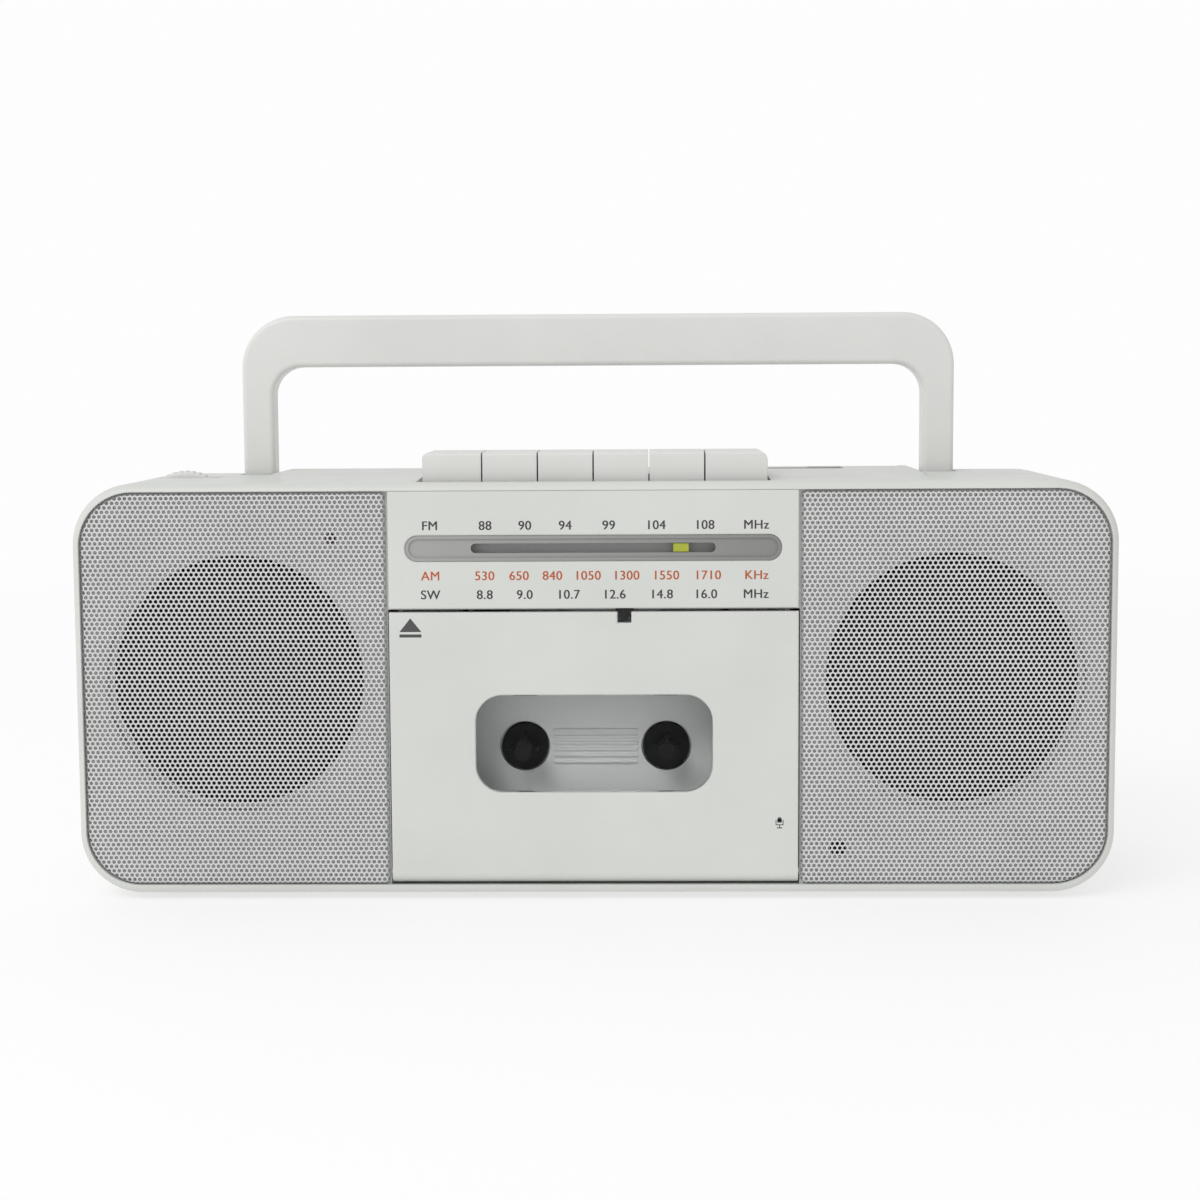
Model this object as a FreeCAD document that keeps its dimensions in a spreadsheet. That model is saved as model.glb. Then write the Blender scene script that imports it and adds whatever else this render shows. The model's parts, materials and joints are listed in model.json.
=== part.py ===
"""Portable radio cassette recorder: case, grilles, tape deck, tuner, controls, handle and aerial.

Frame: X to the right, Y to the back, Z up. The origin is on the table under the middle of the
case. Each sub-part is one object of the document, in the place that it has in the closed machine.
"""
import FreeCAD
import Part
import os
import types
import Sketcher

DIMENSIONS = {
    # case
    "case_width": 304, "case_depth": 82, "case_bottom": 2, "case_top": 123, "case_round": 18,
    "wall": 2.4, "front_round": 2.8, "rear_round": 4, "rim": 2.4, "recess_depth": 2.2,
    "front_wall": 2.5, "seam_gap": 0.3, "deck_rise": 1.3, "deck_half": 101.5,
    "deck_front": -30, "deck_slope": 2.6,
    "lining": 2.4, "edge_round": 0.5, "vent_count": 12, "vent_pitch": 8, "vent_width": 2.2,
    "vent_low": 62, "vent_high": 84,
    # speaker grilles and the units behind them
    "column_half": 60, "sheet": 0.8, "speaker_x": 104.5, "speaker_z": 65,
    "speaker_open": 38.7, "basket_radius": 41.2, "basket_depth": 13, "basket_wall": 1,
    "magnet_radius": 22.5, "magnet_depth": 11, "cone_depth": 9, "cone_wall": 0.7, "cap_radius": 11,
    # tuning dial
    "panel_bottom": 86.3, "panel_thick": 2.1, "dial_z": 103.85, "dial_half": 54.6, "dial_height": 7.5,
    "slot_half": 35.5, "slot_height": 2.8, "bezel_step": 1, "bezel_drop": 0.5,
    "pointer_x": 25.5, "pointer_width": 4.5, "pointer_height": 2.5, "pointer_front": -39.7,
    "carrier_half": 5, "backing_half": 48, "backing_height": 11.4,
    # cassette door
    "door_bottom": 5, "door_top": 85.3, "door_gap": 0.4, "hinge_round": 3.4, "hinge_pin": 1,
    "window_half": 34.6, "window_bottom": 32.2, "window_top": 60.9, "window_round": 8,
    "lens_gap": 0.15, "lens_front": -40.5, "lens_thick": 1.4,
    "notch_x": 9, "notch_half": 2, "notch_depth": 3.2, "latch_half": 1.5, "latch_tip": 0.8,
    "latch_bar_half": 2.4, "latch_clear": 0.2, "latch_lift": 0.24, "latch_pin": 0.25,
    "opening_top": 85.9,
    # cassette bay; the hub spacing is the compact cassette's
    "hub_spacing": 42.5, "hub_z": 42.8, "well_half": 57.2, "well_wall": 1.4, "well_back": -19.5,
    "well_plate": 2, "well_top": 93, "rib_count": 6, "rib_pitch": 1.9, "rib_half": 12.5,
    "rib_rise": 0.7, "hub_hole": 7.5, "disc_radius": 7, "disc_front": -21.8,
    "spindle_radius": 2.6, "spindle_tip": -33.5, "spline_reach": 4.2, "spline_width": 1.1,
    "bearing_radius": 1.5, "bearing_clear": 0.05,
    "tape_half": 51.2, "holder_half": 54, "holder_bottom": 12.2, "holder_top": 62,
    "holder_back": -23, "holder_wall": 1.3, "holder_lip": 46,
    # tape drive
    "chassis_front": -17.5, "sheet_steel": 1, "chassis_half": 54, "chassis_bottom": 10,
    "chassis_top": 83, "capstan_x": -30.5, "capstan_z": 70.7, "capstan_radius": 1.2, "capstan_room": 3,
    "flywheel_radius": 22, "flywheel_front": -13, "flywheel_thick": 4,
    "bracket_front": -7.5, "bracket_left": -56, "bracket_right": 53, "bracket_bottom": 24,
    "bracket_post": 4,
    "motor_x": 33, "motor_z": 42, "motor_radius": 14, "motor_length": 13, "shaft_radius": 1,
    "motor_boss": 3,
    "pulley_radius": 4, "belt_thick": 1, "belt_width": 1.6,
    "head_travel": 5, "head_bottom": 78, "head_half": 6.5, "head_front": -33.5,
    "head_plate_front": -19, "head_plate_half": 38, "head_plate_top": 90,
    "roller_radius": 5.5, "roller_clear": 0.15, "roller_inset": 1,
    # keys
    "key_count": 6, "key_pitch": 16.3, "key_gap": 0.4, "first_extra": 1.3, "last_extra": 2.2,
    "first_round": 1.8, "last_round": 2.7, "key_arm_end": -15.6, "arm_lap": 0.2, "bank_x": 0,
    "key_front": -33, "key_back": -9.6, "key_top": 131.4, "key_bottom": 119.6, "key_bevel": 0.9,
    "key_pivot_y": -4.5, "key_pivot_z": 117.4, "key_shaft_radius": 1.5, "key_hub_radius": 2.6,
    "bank_front": -35.6, "bank_back": -8.8, "bank_clear": 0.7, "key_arm_half": 3,
    # carrying handle
    "handle_half": 112.5, "leg_width": 9.9, "handle_top": 173, "bar_height": 16.2,
    "handle_front": 22, "handle_depth": 10, "handle_outer": 16.5, "handle_inner": 9,
    "handle_edge": 1.6, "handle_pivot_z": 111.5, "handle_pin": 2, "pin_clear": 0.06,
    "leg_clear": 0.9, "notch_front": 19.2, "notch_floor": 104.4,
    # volume wheel and slide switches
    "wheel_x": -127, "wheel_z": 111.1, "wheel_radius": 14, "wheel_front": 2, "wheel_thick": 4,
    "wheel_slot": 11, "wheel_side": 0.6, "pot_half": 7, "pot_depth": 5, "control_shaft": 2,
    "switch_y": 20, "function_x": 65.2, "band_x": -3, "plate_half": 12.4, "plate_depth": 6,
    "plate_thick": 1, "switch_slot_half": 10.2, "switch_slot": 2, "knob_half": 5.1,
    "switch_knob_depth": 4.6, "switch_knob_rise": 0.5, "function_rest": 6.3,
    "switch_body_half": 9, "switch_body_height": 6,
    # tuning drive
    "tuning_y": 20, "tuning_z": 74, "tuning_radius": 15, "dish_radius": 16.6, "dish_depth": 4.8,
    "knob_proud": 0.1, "tuning_shaft_end": 118, "cord_pulley": 6, "cord_pulley_width": 4,
    "drum_x": 80, "drum_z": 97.5, "drum_radius": 21, "drum_front": -6, "drum_thick": 3,
    "capacitor_half": 9, "board_front": 8, "board_thick": 1.6, "board_bottom": 44,
    "board_top": 100, "board_half": 96, "ferrite_room": 10, "ferrite_rise": 6, "ferrite_radius": 5,
    # telescopic aerial
    "aerial_y": 36.6, "aerial_z": 120.9, "aerial_pivot_x": 92, "aerial_radius": 3,
    "aerial_end": -88, "aerial_step": 0.75, "aerial_clear": 0.08, "aerial_tip": 3.2,
    "groove_front": 33, "groove_floor": 117.4, "groove_lined": 138.6, "groove_right": 96.6,
    # power and sockets
    "tray_half": 105, "tray_front": 7.6, "tray_bottom": 5, "tray_top": 37, "tray_wall": 1.4,
    "cover_half": 104, "cover_bottom": 5.6, "cover_top": 35.4, "cover_thick": 1.6,
    "ledge": 2, "cell_radius": 13.1, "spring_wire": 0.9,
    "grip_count": 9, "grip_pitch": 2.6, "grip_depth": 0.6, "grip_length": 10,
    "inlet_x": -128, "inlet_z": 30, "inlet_half": 11, "inlet_height": 13, "inlet_depth": 16,
    "inlet_floor": 2, "contact_below": 4,
    "socket_half": 8.8, "socket_height": 8.4, "contact_radius": 1.2, "contact_spread": 4.2,
    "jack_y": 20, "jack_z": 44, "jack_radius": 3.9, "jack_bore": 1.8, "jack_length": 14,
    "transformer_x": 124, "transformer_z": 30,
    "transformer_half": 15, "transformer_height": 28,
    # small pieces
    "foot_x": 124, "foot_y": 21, "foot_radius": 7, "screw_x": 144, "screw_low": 16,
    "screw_high": 100, "screw_radius": 1.5, "screw_head": 2.8, "screw_head_depth": 1.6,
    "post_radius": 4, "screw_bore": 12, "led_x": -76.5, "led_z": 106.8, "led_radius": 1.5,
    "mic_x": 71.3, "mic_z": 15.2, "mic_radius": 2.2, "mic_depth": 4,
}

PLANES = {"XY": "XY_Plane", "XZ": "XZ_Plane", "YZ": "YZ_Plane"}
TINY = 1e-6
LEVEL_SLACK = 0.01
PAST = 1.0
CORNERS = 4
CENTRE_POINT = 3

doc = FreeCAD.newDocument("RadioCassette")
sub_parts = []


class Size:
    """A length that knows the spreadsheet formula it comes from."""

    def __init__(self, value, formula):
        self.value = value
        self.formula = formula

    def __add__(self, other):
        other = size(other)
        return Size(self.value + other.value, f"({self.formula} + {other.formula})")

    def __sub__(self, other):
        other = size(other)
        return Size(self.value - other.value, f"({self.formula} - {other.formula})")

    def __mul__(self, other):
        other = size(other)
        return Size(self.value * other.value, f"({self.formula} * {other.formula})")

    def __truediv__(self, other):
        other = size(other)
        return Size(self.value / other.value, f"({self.formula} / {other.formula})")

    def __radd__(self, other):
        return size(other) + self

    def __rsub__(self, other):
        return size(other) - self

    def __rmul__(self, other):
        return size(other) * self

    def __neg__(self):
        return Size(-self.value, f"(0 - {self.formula})")


def size(value):
    """Turn a plain number into a Size."""
    if isinstance(value, Size):
        return value
    return Size(float(value), f"({float(value)})")


def make_sheet():
    """Write the driving dimensions into the spreadsheet and return them as Sizes."""
    sheet = doc.addObject("Spreadsheet::Sheet", "Dims")
    sizes = {}
    for row, (name, value) in enumerate(DIMENSIONS.items(), start=1):
        sheet.set(f"A{row}", name)
        sheet.set(f"B{row}", str(value))
        sheet.setAlias(f"B{row}", name)
        sizes[name] = Size(float(value), f"Dims.{name}")
    doc.recompute()
    return sizes


def bind(target, path, length):
    """Drive one property of an object by a Size."""
    target.setExpression(path, size(length).formula)


# ---------------------------------------------------------------- sketch helpers

def make_sketch(body, plane, offset):
    """A sketch on one of the body's origin planes, moved along that plane's global axis."""
    support = [item for item in body.Origin.OriginFeatures if item.Role == PLANES[plane]][0]
    sketch = body.newObject("Sketcher::SketchObject", "Profile")
    sketch.AttachmentSupport = (support, [""])
    sketch.MapMode = "FlatFace"
    shift = size(offset)
    if plane == "XZ":
        shift = -shift
    bind(sketch, "AttachmentOffset.Base.z", shift)
    return sketch


def pin(sketch, geometry, point, across=None, up=None):
    """Hold a sketch point at a distance from the sketch's origin."""
    for kind, axis, length in (("DistanceX", -2, across), ("DistanceY", -1, up)):
        if length is None:
            continue
        length = size(length)
        if abs(length.value) < TINY:
            sketch.addConstraint(Sketcher.Constraint("PointOnObject", geometry, point, axis))
            continue
        index = sketch.addConstraint(
            Sketcher.Constraint(kind, -1, 1, geometry, point, length.value))
        bind(sketch, f"Constraints[{index}]", length)


def draw_polygon(sketch, points):
    """A closed outline of straight lines through the given points."""
    vectors = [FreeCAD.Vector(size(u).value, size(v).value, 0) for u, v in points]
    first = sketch.GeometryCount
    count = len(points)
    for index in range(count):
        line = Part.LineSegment(vectors[index], vectors[(index + 1) % count])
        sketch.addGeometry(line)
    for index in range(count):
        following = first + (index + 1) % count
        sketch.addConstraint(Sketcher.Constraint("Coincident", first + index, 2, following, 1))
    for index, (u, v) in enumerate(points):
        pin(sketch, first + index, 1, u, v)


def draw_box(sketch, left, right, low, high, rounds=(0, 0, 0, 0)):
    """A rectangle; rounds are the corner radii from low-left, anticlockwise."""
    if not any(size(item).value for item in rounds):
        draw_polygon(sketch, [(left, low), (right, low), (right, high), (left, high)])
        return
    corners = [(left, low), (right, low), (right, high), (left, high)]
    along = [(1, 0), (0, 1), (-1, 0), (0, -1)]
    radii = [size(item) for item in rounds]
    first = sketch.GeometryCount
    lines = []
    for index in range(CORNERS):
        following = (index + 1) % CORNERS
        step = FreeCAD.Vector(along[index][0], along[index][1], 0)
        start = FreeCAD.Vector(size(corners[index][0]).value, size(corners[index][1]).value, 0)
        stop = FreeCAD.Vector(
            size(corners[following][0]).value, size(corners[following][1]).value, 0)
        start = start + step * radii[index].value
        stop = stop - step * radii[following].value
        sketch.addGeometry(Part.LineSegment(start, stop))
        lines.append((start, stop))
    for index in range(CORNERS):
        level = corners[index][1] if index % 2 == 0 else corners[index][0]
        kind = "Horizontal" if index % 2 == 0 else "Vertical"
        sketch.addConstraint(Sketcher.Constraint(kind, first + index))
        if index % 2 == 0:
            pin(sketch, first + index, 1, up=level)
        else:
            pin(sketch, first + index, 1, across=level)
    for index in range(CORNERS):
        previous = (index - 1) % CORNERS
        before = first + previous
        after = first + index
        radius = radii[index]
        if radius.value < TINY:
            sketch.addConstraint(Sketcher.Constraint("Coincident", before, 2, after, 1))
            continue
        step_in = FreeCAD.Vector(along[previous][0], along[previous][1], 0)
        step_out = FreeCAD.Vector(along[index][0], along[index][1], 0)
        corner = lines[index][0] - step_out * radius.value
        centre = corner - step_in * radius.value + step_out * radius.value
        middle = centre + (step_in - step_out).normalize() * radius.value
        arc = Part.Arc(lines[previous][1], middle, lines[index][0])
        number = sketch.addGeometry(arc)
        sketch.addConstraint(Sketcher.Constraint("Tangent", before, 2, number, 1))
        sketch.addConstraint(Sketcher.Constraint("Tangent", number, 2, after, 1))
        held = sketch.addConstraint(Sketcher.Constraint("Radius", number, radius.value))
        bind(sketch, f"Constraints[{held}]", radius)


def draw_circle(sketch, across, up, radius):
    """A circle, held by its centre and its radius."""
    centre = FreeCAD.Vector(size(across).value, size(up).value, 0)
    circle = Part.Circle(centre, FreeCAD.Vector(0, 0, 1), size(radius).value)
    number = sketch.addGeometry(circle)
    pin(sketch, number, CENTRE_POINT, across, up)
    held = sketch.addConstraint(Sketcher.Constraint("Radius", number, size(radius).value))
    bind(sketch, f"Constraints[{held}]", radius)


def box_loop(left, right, low, high, rounds=(0, 0, 0, 0)):
    return lambda sketch: draw_box(sketch, left, right, low, high, rounds)


def circle_loop(across, up, radius):
    return lambda sketch: draw_circle(sketch, across, up, radius)


def polygon_loop(points):
    return lambda sketch: draw_polygon(sketch, points)


# ---------------------------------------------------------------- feature helpers

def new_body(label):
    """An empty PartDesign body, listed for writing."""
    body = doc.addObject("PartDesign::Body", label)
    body.Label = label
    sub_parts.append(body)
    return body


def pad(body, plane, span, *loops):
    """Add material between two levels of a plane's global axis."""
    low, high = span
    sketch = make_sketch(body, plane, high if plane == "XZ" else low)
    for loop in loops:
        loop(sketch)
    feature = body.newObject("PartDesign::Pad", "Pad")
    feature.Profile = sketch
    bind(feature, "Length", size(high) - low)
    return feature


def pocket(body, plane, span, *loops):
    """Remove material between two levels of a plane's global axis."""
    low, high = span
    sketch = make_sketch(body, plane, low if plane == "XZ" else high)
    for loop in loops:
        loop(sketch)
    feature = body.newObject("PartDesign::Pocket", "Pocket")
    feature.Profile = sketch
    bind(feature, "Length", size(high) - low)
    return feature


def round_edges(body, radius, chosen):
    """Fillet the edges of the body's last feature that the test picks."""
    doc.recompute()
    base = body.Tip
    names = [f"Edge{index}" for index, edge in enumerate(base.Shape.Edges, start=1)
             if chosen(edge.BoundBox)]
    feature = body.newObject("PartDesign::Fillet", "Fillet")
    feature.Base = (base, names)
    bind(feature, "Radius", radius)
    return feature


def turned(label, axis, centre, points):
    """A body of revolution; points are (distance along the axis, radius)."""
    body = new_body(label)
    for name, value in zip(("x", "y", "z"), centre):
        bind(body, f"Placement.Base.{name}", value)
    flat = "XZ" if axis == "Z" else "XY"
    sketch = make_sketch(body, flat, 0)
    if axis == "X":
        draw_polygon(sketch, points)
    else:
        draw_polygon(sketch, [(radius, along) for along, radius in points])
    feature = body.newObject("PartDesign::Revolution", "Revolution")
    feature.Profile = sketch
    feature.ReferenceAxis = (sketch, ["H_Axis" if axis == "X" else "V_Axis"])
    feature.Angle = 360
    return body


def block(label, across, deep, high, listed=True):
    """A plain box from three spans."""
    item = doc.addObject("Part::Box", label)
    item.Label = label
    for path, span in (("Length", across), ("Width", deep), ("Height", high)):
        bind(item, path, size(span[1]) - span[0])
    for name, span in (("x", across), ("y", deep), ("z", high)):
        bind(item, f"Placement.Base.{name}", span[0])
    if listed:
        sub_parts.append(item)
    return item


def rod(label, axis, start, radius, length, listed=True):
    """A plain cylinder that runs from its start point along a positive axis."""
    item = doc.addObject("Part::Cylinder", label)
    item.Label = label
    turn = {"X": (FreeCAD.Vector(0, 1, 0), 90), "Y": (FreeCAD.Vector(1, 0, 0), -90),
            "Z": (FreeCAD.Vector(0, 0, 1), 0)}[axis]
    item.Placement = FreeCAD.Placement(FreeCAD.Vector(), FreeCAD.Rotation(turn[0], turn[1]))
    bind(item, "Radius", radius)
    bind(item, "Height", length)
    for name, value in zip(("x", "y", "z"), start):
        bind(item, f"Placement.Base.{name}", value)
    if listed:
        sub_parts.append(item)
    return item


def group(label, items):
    """Separate solids of one kind that share a node."""
    holder = doc.addObject("Part::Compound", label)
    holder.Label = label
    holder.Links = items
    sub_parts.append(holder)
    return holder


def cut(label, base, tool, listed=True):
    """The base less the tool."""
    item = doc.addObject("Part::Cut", label)
    item.Label = label
    item.Base = base
    item.Tool = tool
    if listed:
        sub_parts.append(item)
    return item


def fuse(label, items, listed=True):
    """Several solids joined into one."""
    item = doc.addObject("Part::MultiFuse", label)
    item.Label = label
    item.Shapes = items
    item.Refine = True
    if listed:
        sub_parts.append(item)
    return item


D = types.SimpleNamespace(**make_sheet())
HALF = D.case_width / 2
FRONT = -D.case_depth / 2
BACK = D.case_depth / 2
FACE = FRONT + D.recess_depth
INNER = FACE + D.front_wall
TRIM = D.case_width / 2 - D.rim
INSIDE_ROUND = D.case_round - D.wall
DECK = D.case_top + D.deck_rise
SIDES = (("left", -1), ("right", 1))


def sided(sign, near, far):
    """A span from near to far on the side of the machine that the sign gives."""
    if sign > 0:
        return near, far
    return -far, -near


# ---------------------------------------------------------------- case

def all_round(radius):
    """The same radius for every corner of a box."""
    return (radius,) * CORNERS


def case_outline(inset=0):
    edge = all_round(D.case_round - inset)
    return box_loop(-HALF + inset, HALF - inset, D.case_bottom + inset, D.case_top - inset, edge)


def inside_outline():
    edge = all_round(INSIDE_ROUND)
    return box_loop(-HALF + D.wall, HALF - D.wall, D.case_bottom + D.wall,
                    D.case_top - D.wall, edge)


def screw_places():
    """Where the four case screws are, as (x, z)."""
    return [(D.screw_x * sign, height) for sign in (-1, 1)
            for height in (D.screw_low, D.screw_high)]


def on_level(box, axis, level):
    """True where an edge lies wholly on one level of an axis."""
    low = getattr(box, f"{axis}Min")
    high = getattr(box, f"{axis}Max")
    return abs(low - level) < LEVEL_SLACK and abs(high - level) < LEVEL_SLACK


def front_cabinet():
    """Front half of the case: rim, baffle wall, deck front and key opening."""
    body = new_body("front_cabinet")
    pad(body, "XZ", (FRONT, -D.seam_gap), case_outline())
    round_edges(body, D.front_round, lambda box: on_level(box, "Y", FRONT.value))
    pad(body, "YZ", (-D.deck_half + D.deck_slope, D.deck_half - D.deck_slope),
        polygon_loop([(D.deck_front, D.case_top - D.wall), (-D.seam_gap, D.case_top - D.wall),
                      (-D.seam_gap, DECK), (D.deck_front, D.case_top)]))
    pad(body, "XZ", (-D.seam_gap * 2, 0), case_outline(D.seam_gap))
    pocket(body, "XZ", (INNER, PAST), inside_outline())
    trim_round = all_round(D.case_round - D.rim + D.seam_gap)
    pocket(body, "XZ", (FRONT - PAST, FACE),
           box_loop(-TRIM - D.seam_gap, TRIM + D.seam_gap, D.case_bottom + D.rim + D.seam_gap,
                    D.case_top - D.rim, trim_round))
    for sign in (-1, 1):
        pocket(body, "XZ", (FACE - PAST, INNER + PAST),
               circle_loop(D.speaker_x * sign, D.speaker_z, D.speaker_open))
    pocket(body, "XZ", (FACE - PAST, INNER + PAST),
           box_loop(-D.column_half, D.column_half, D.case_bottom + D.wall, D.opening_top))
    sill = D.door_bottom + D.hinge_round * 2 + D.door_gap
    half_back = D.backing_height / 2
    pocket(body, "XZ", (FACE - PAST, INNER + PAST),
           box_loop(-D.backing_half, D.backing_half, D.dial_z - half_back, D.dial_z + half_back))
    bank_half = D.key_pitch * D.key_count / 2 + D.last_extra + D.bank_clear
    pocket(body, "XY", (D.case_top - D.wall * 2, DECK + PAST),
           box_loop(D.bank_x - bank_half, D.bank_x + bank_half, D.bank_front, D.bank_back))
    pocket(body, "XZ", (FACE - PAST, INNER + PAST),
           circle_loop(D.led_x, D.led_z, D.led_radius + D.pin_clear),
           circle_loop(D.mic_x, D.mic_z, D.mic_radius + D.pin_clear))
    for x, z in screw_places():
        pad(body, "XZ", (INNER - D.front_wall / 2, -PAST), circle_loop(x, z, D.post_radius))
        pocket(body, "XZ", (-D.screw_bore, 0), circle_loop(x, z, D.screw_radius))
    for sign in (-1, 1):
        near, far = sided(sign, D.column_half, D.column_half + D.post_radius)
        pad(body, "YZ", (near, far),
            box_loop(INNER - D.front_wall / 2, INNER + D.wall, D.case_bottom + D.wall / 2, sill))
        near, far = sided(sign, D.column_half - PAST, D.column_half + D.post_radius / 2)
        pocket(body, "YZ", (near, far),
               circle_loop(FRONT + D.hinge_round, D.door_bottom + D.hinge_round,
                           D.hinge_pin + D.pin_clear))


def rear_cabinet():
    """Rear half of the case: handle notches, aerial groove, battery bay opening, sockets."""
    body = new_body("rear_cabinet")
    pad(body, "XZ", (0, BACK), case_outline())
    round_edges(body, D.rear_round, lambda box: on_level(box, "Y", BACK.value))
    inner_half = D.deck_half - D.deck_slope
    pad(body, "XZ", (0, BACK - D.rear_round),
        polygon_loop([(-D.deck_half, D.case_top - D.wall), (D.deck_half, D.case_top - D.wall),
                      (D.deck_half, D.case_top), (inner_half, DECK), (-inner_half, DECK),
                      (-D.deck_half, D.case_top)]))
    pocket(body, "XZ", (-PAST, BACK - D.wall), inside_outline())
    end = D.groove_right
    lined = (D.groove_front - D.wall, BACK - D.wall / 2)
    pad(body, "XY", (D.groove_floor - D.wall, D.case_top - D.wall / 2),
        box_loop(-D.groove_lined, end + D.wall, *lined))
    pad(body, "XY", (D.groove_floor - D.wall, D.groove_floor + D.wall / 2),
        box_loop(-D.groove_lined - D.wall * 2, end, *lined))
    leg_near = D.handle_half - D.leg_width - D.leg_clear
    leg_far = D.handle_half + D.leg_clear
    for sign in (-1, 1):
        near, far = sided(sign, leg_near - D.lining, leg_far + D.lining)
        pad(body, "XY", (D.notch_floor - D.lining, D.case_top - D.wall / 2),
            box_loop(near, far, D.notch_front - D.lining, BACK - D.wall / 2))
        near, far = sided(sign, leg_near, leg_far)
        pocket(body, "XY", (D.notch_floor, DECK + PAST),
               box_loop(near, far, D.notch_front, BACK + PAST))
        near, far = sided(sign, leg_near - D.lining, leg_far + D.lining)
        pocket(body, "YZ", (near, far),
               circle_loop(D.handle_front + D.handle_depth / 2, D.handle_pivot_z, D.handle_pin))
    pocket(body, "XY", (D.groove_floor, DECK + PAST),
           box_loop(-HALF - PAST, end, D.groove_front, BACK + PAST))
    pocket(body, "XZ", (D.groove_front - D.wall, D.groove_front + PAST),
           circle_loop(D.aerial_pivot_x, D.aerial_z, D.bearing_radius + D.bearing_clear))
    pocket(body, "XY", (D.case_top - D.wall - PAST, DECK + PAST),
           box_loop(D.wheel_x - D.wheel_slot, D.wheel_x + D.wheel_slot,
                    D.wheel_front - D.wheel_side, D.wheel_front + D.wheel_thick + D.wheel_side))
    for middle in (D.function_x, D.band_x):
        pocket(body, "XY", (D.case_top - D.wall - PAST, DECK + PAST),
               box_loop(middle - D.plate_half, middle + D.plate_half,
                        D.switch_y - D.plate_depth / 2, D.switch_y + D.plate_depth / 2))
    dish_floor = HALF - D.dish_depth
    pad(body, "YZ", (dish_floor - D.wall, HALF - D.wall / 2),
        circle_loop(D.tuning_y, D.tuning_z, D.dish_radius + D.wall))
    pocket(body, "YZ", (dish_floor, HALF + PAST),
           circle_loop(D.tuning_y, D.tuning_z, D.dish_radius))
    pocket(body, "YZ", (dish_floor - D.wall - PAST, HALF),
           circle_loop(D.tuning_y, D.tuning_z, D.control_shaft + D.pin_clear))
    pocket(body, "YZ", (-HALF - PAST, -HALF + D.wall + PAST),
           circle_loop(D.jack_y, D.jack_z, D.jack_radius))
    pocket(body, "XZ", (BACK - D.wall - PAST, BACK + PAST),
           box_loop(-D.cover_half + D.ledge, D.cover_half - D.ledge,
                    D.cover_bottom + D.ledge, D.cover_top - D.ledge))
    pocket(body, "XZ", (BACK - D.cover_thick, BACK + PAST),
           box_loop(-D.cover_half - D.seam_gap, D.cover_half + D.seam_gap,
                    D.cover_bottom - D.seam_gap, D.cover_top + D.seam_gap))
    pocket(body, "XZ", (BACK - D.wall - PAST, BACK + PAST),
           box_loop(D.inlet_x - D.inlet_half, D.inlet_x + D.inlet_half,
                    D.inlet_z - D.inlet_height / 2, D.inlet_z + D.inlet_height / 2))
    first_vent = -D.vent_pitch * (D.vent_count.value - 1) / 2
    for index in range(DIMENSIONS["vent_count"]):
        middle = first_vent + D.vent_pitch * index
        pocket(body, "XZ", (BACK - D.wall - PAST, BACK + PAST),
               box_loop(middle - D.vent_width / 2, middle + D.vent_width / 2, D.vent_low,
                        D.vent_high, all_round(D.vent_width / 2 - D.pin_clear)))
    for x, z in screw_places():
        pad(body, "XZ", (0, BACK - D.wall / 2), circle_loop(x, z, D.post_radius))
        pocket(body, "XZ", (-PAST, BACK + PAST), circle_loop(x, z, D.screw_radius))
        pocket(body, "XZ", (BACK - D.screw_head_depth, BACK + PAST),
               circle_loop(x, z, D.screw_head + D.seam_gap))


def speaker_grilles():
    """Two formed metal covers, each a shallow tray with two large outer corners."""
    for name, sign in SIDES:
        body = new_body(f"{name}_speaker_grille")
        near, far = sided(sign, D.column_half + D.door_gap, TRIM)
        low = D.case_bottom + D.rim + D.door_gap
        high = D.case_top - D.rim - D.seam_gap
        big = D.case_round - D.rim
        small = D.sheet * 2
        outer = (small, big, big, small) if sign > 0 else (big, small, small, big)
        pad(body, "XZ", (FRONT + D.seam_gap, FACE - D.pin_clear),
            box_loop(near, far, low, high, outer))
        inner = [corner - D.sheet for corner in outer]
        pocket(body, "XZ", (FRONT + D.seam_gap + D.sheet, FACE + PAST),
               box_loop(near + D.sheet, far - D.sheet, low + D.sheet, high - D.sheet, inner))


def speakers():
    """Loudspeakers: pressed baskets, paper cones and ring magnets, in pairs."""
    start = INNER
    frames = []
    cones = []
    magnets = []
    for name, sign in SIDES:
        back = start + D.basket_depth
        profile = [(0, D.basket_radius), (D.basket_wall, D.basket_radius),
                   (D.basket_wall * 2, D.speaker_open), (D.basket_depth, D.magnet_radius),
                   (D.basket_depth, D.cap_radius), (D.basket_depth - D.basket_wall, D.cap_radius),
                   (D.basket_depth - D.basket_wall, D.magnet_radius - D.basket_wall),
                   (D.basket_wall, D.speaker_open - D.basket_wall * 2),
                   (0, D.speaker_open - D.basket_wall * 2)]
        frames.append(turned(f"{name}_basket", "Y", (D.speaker_x * sign, start, D.speaker_z),
                             profile))
        cone = [(0, D.speaker_open - D.basket_wall * 3), (D.cone_depth, D.cap_radius - 1),
                (D.cone_depth - 2, 0), (D.cone_depth - 2 - D.cone_wall, 0),
                (D.cone_depth - D.cone_wall * 2, D.cap_radius - 1),
                (-D.cone_wall, D.speaker_open - D.basket_wall * 3)]
        cones.append(turned(f"{name}_cone", "Y", (D.speaker_x * sign, start, D.speaker_z), cone))
        magnets.append(rod(f"{name}_magnet", "Y", (D.speaker_x * sign, back, D.speaker_z),
                           D.magnet_radius, D.magnet_depth, listed=False))
    for item in frames + cones:
        sub_parts.remove(item)
    group("speaker_frames", frames)
    group("speaker_cones", cones)
    group("speaker_magnets", magnets)


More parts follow.
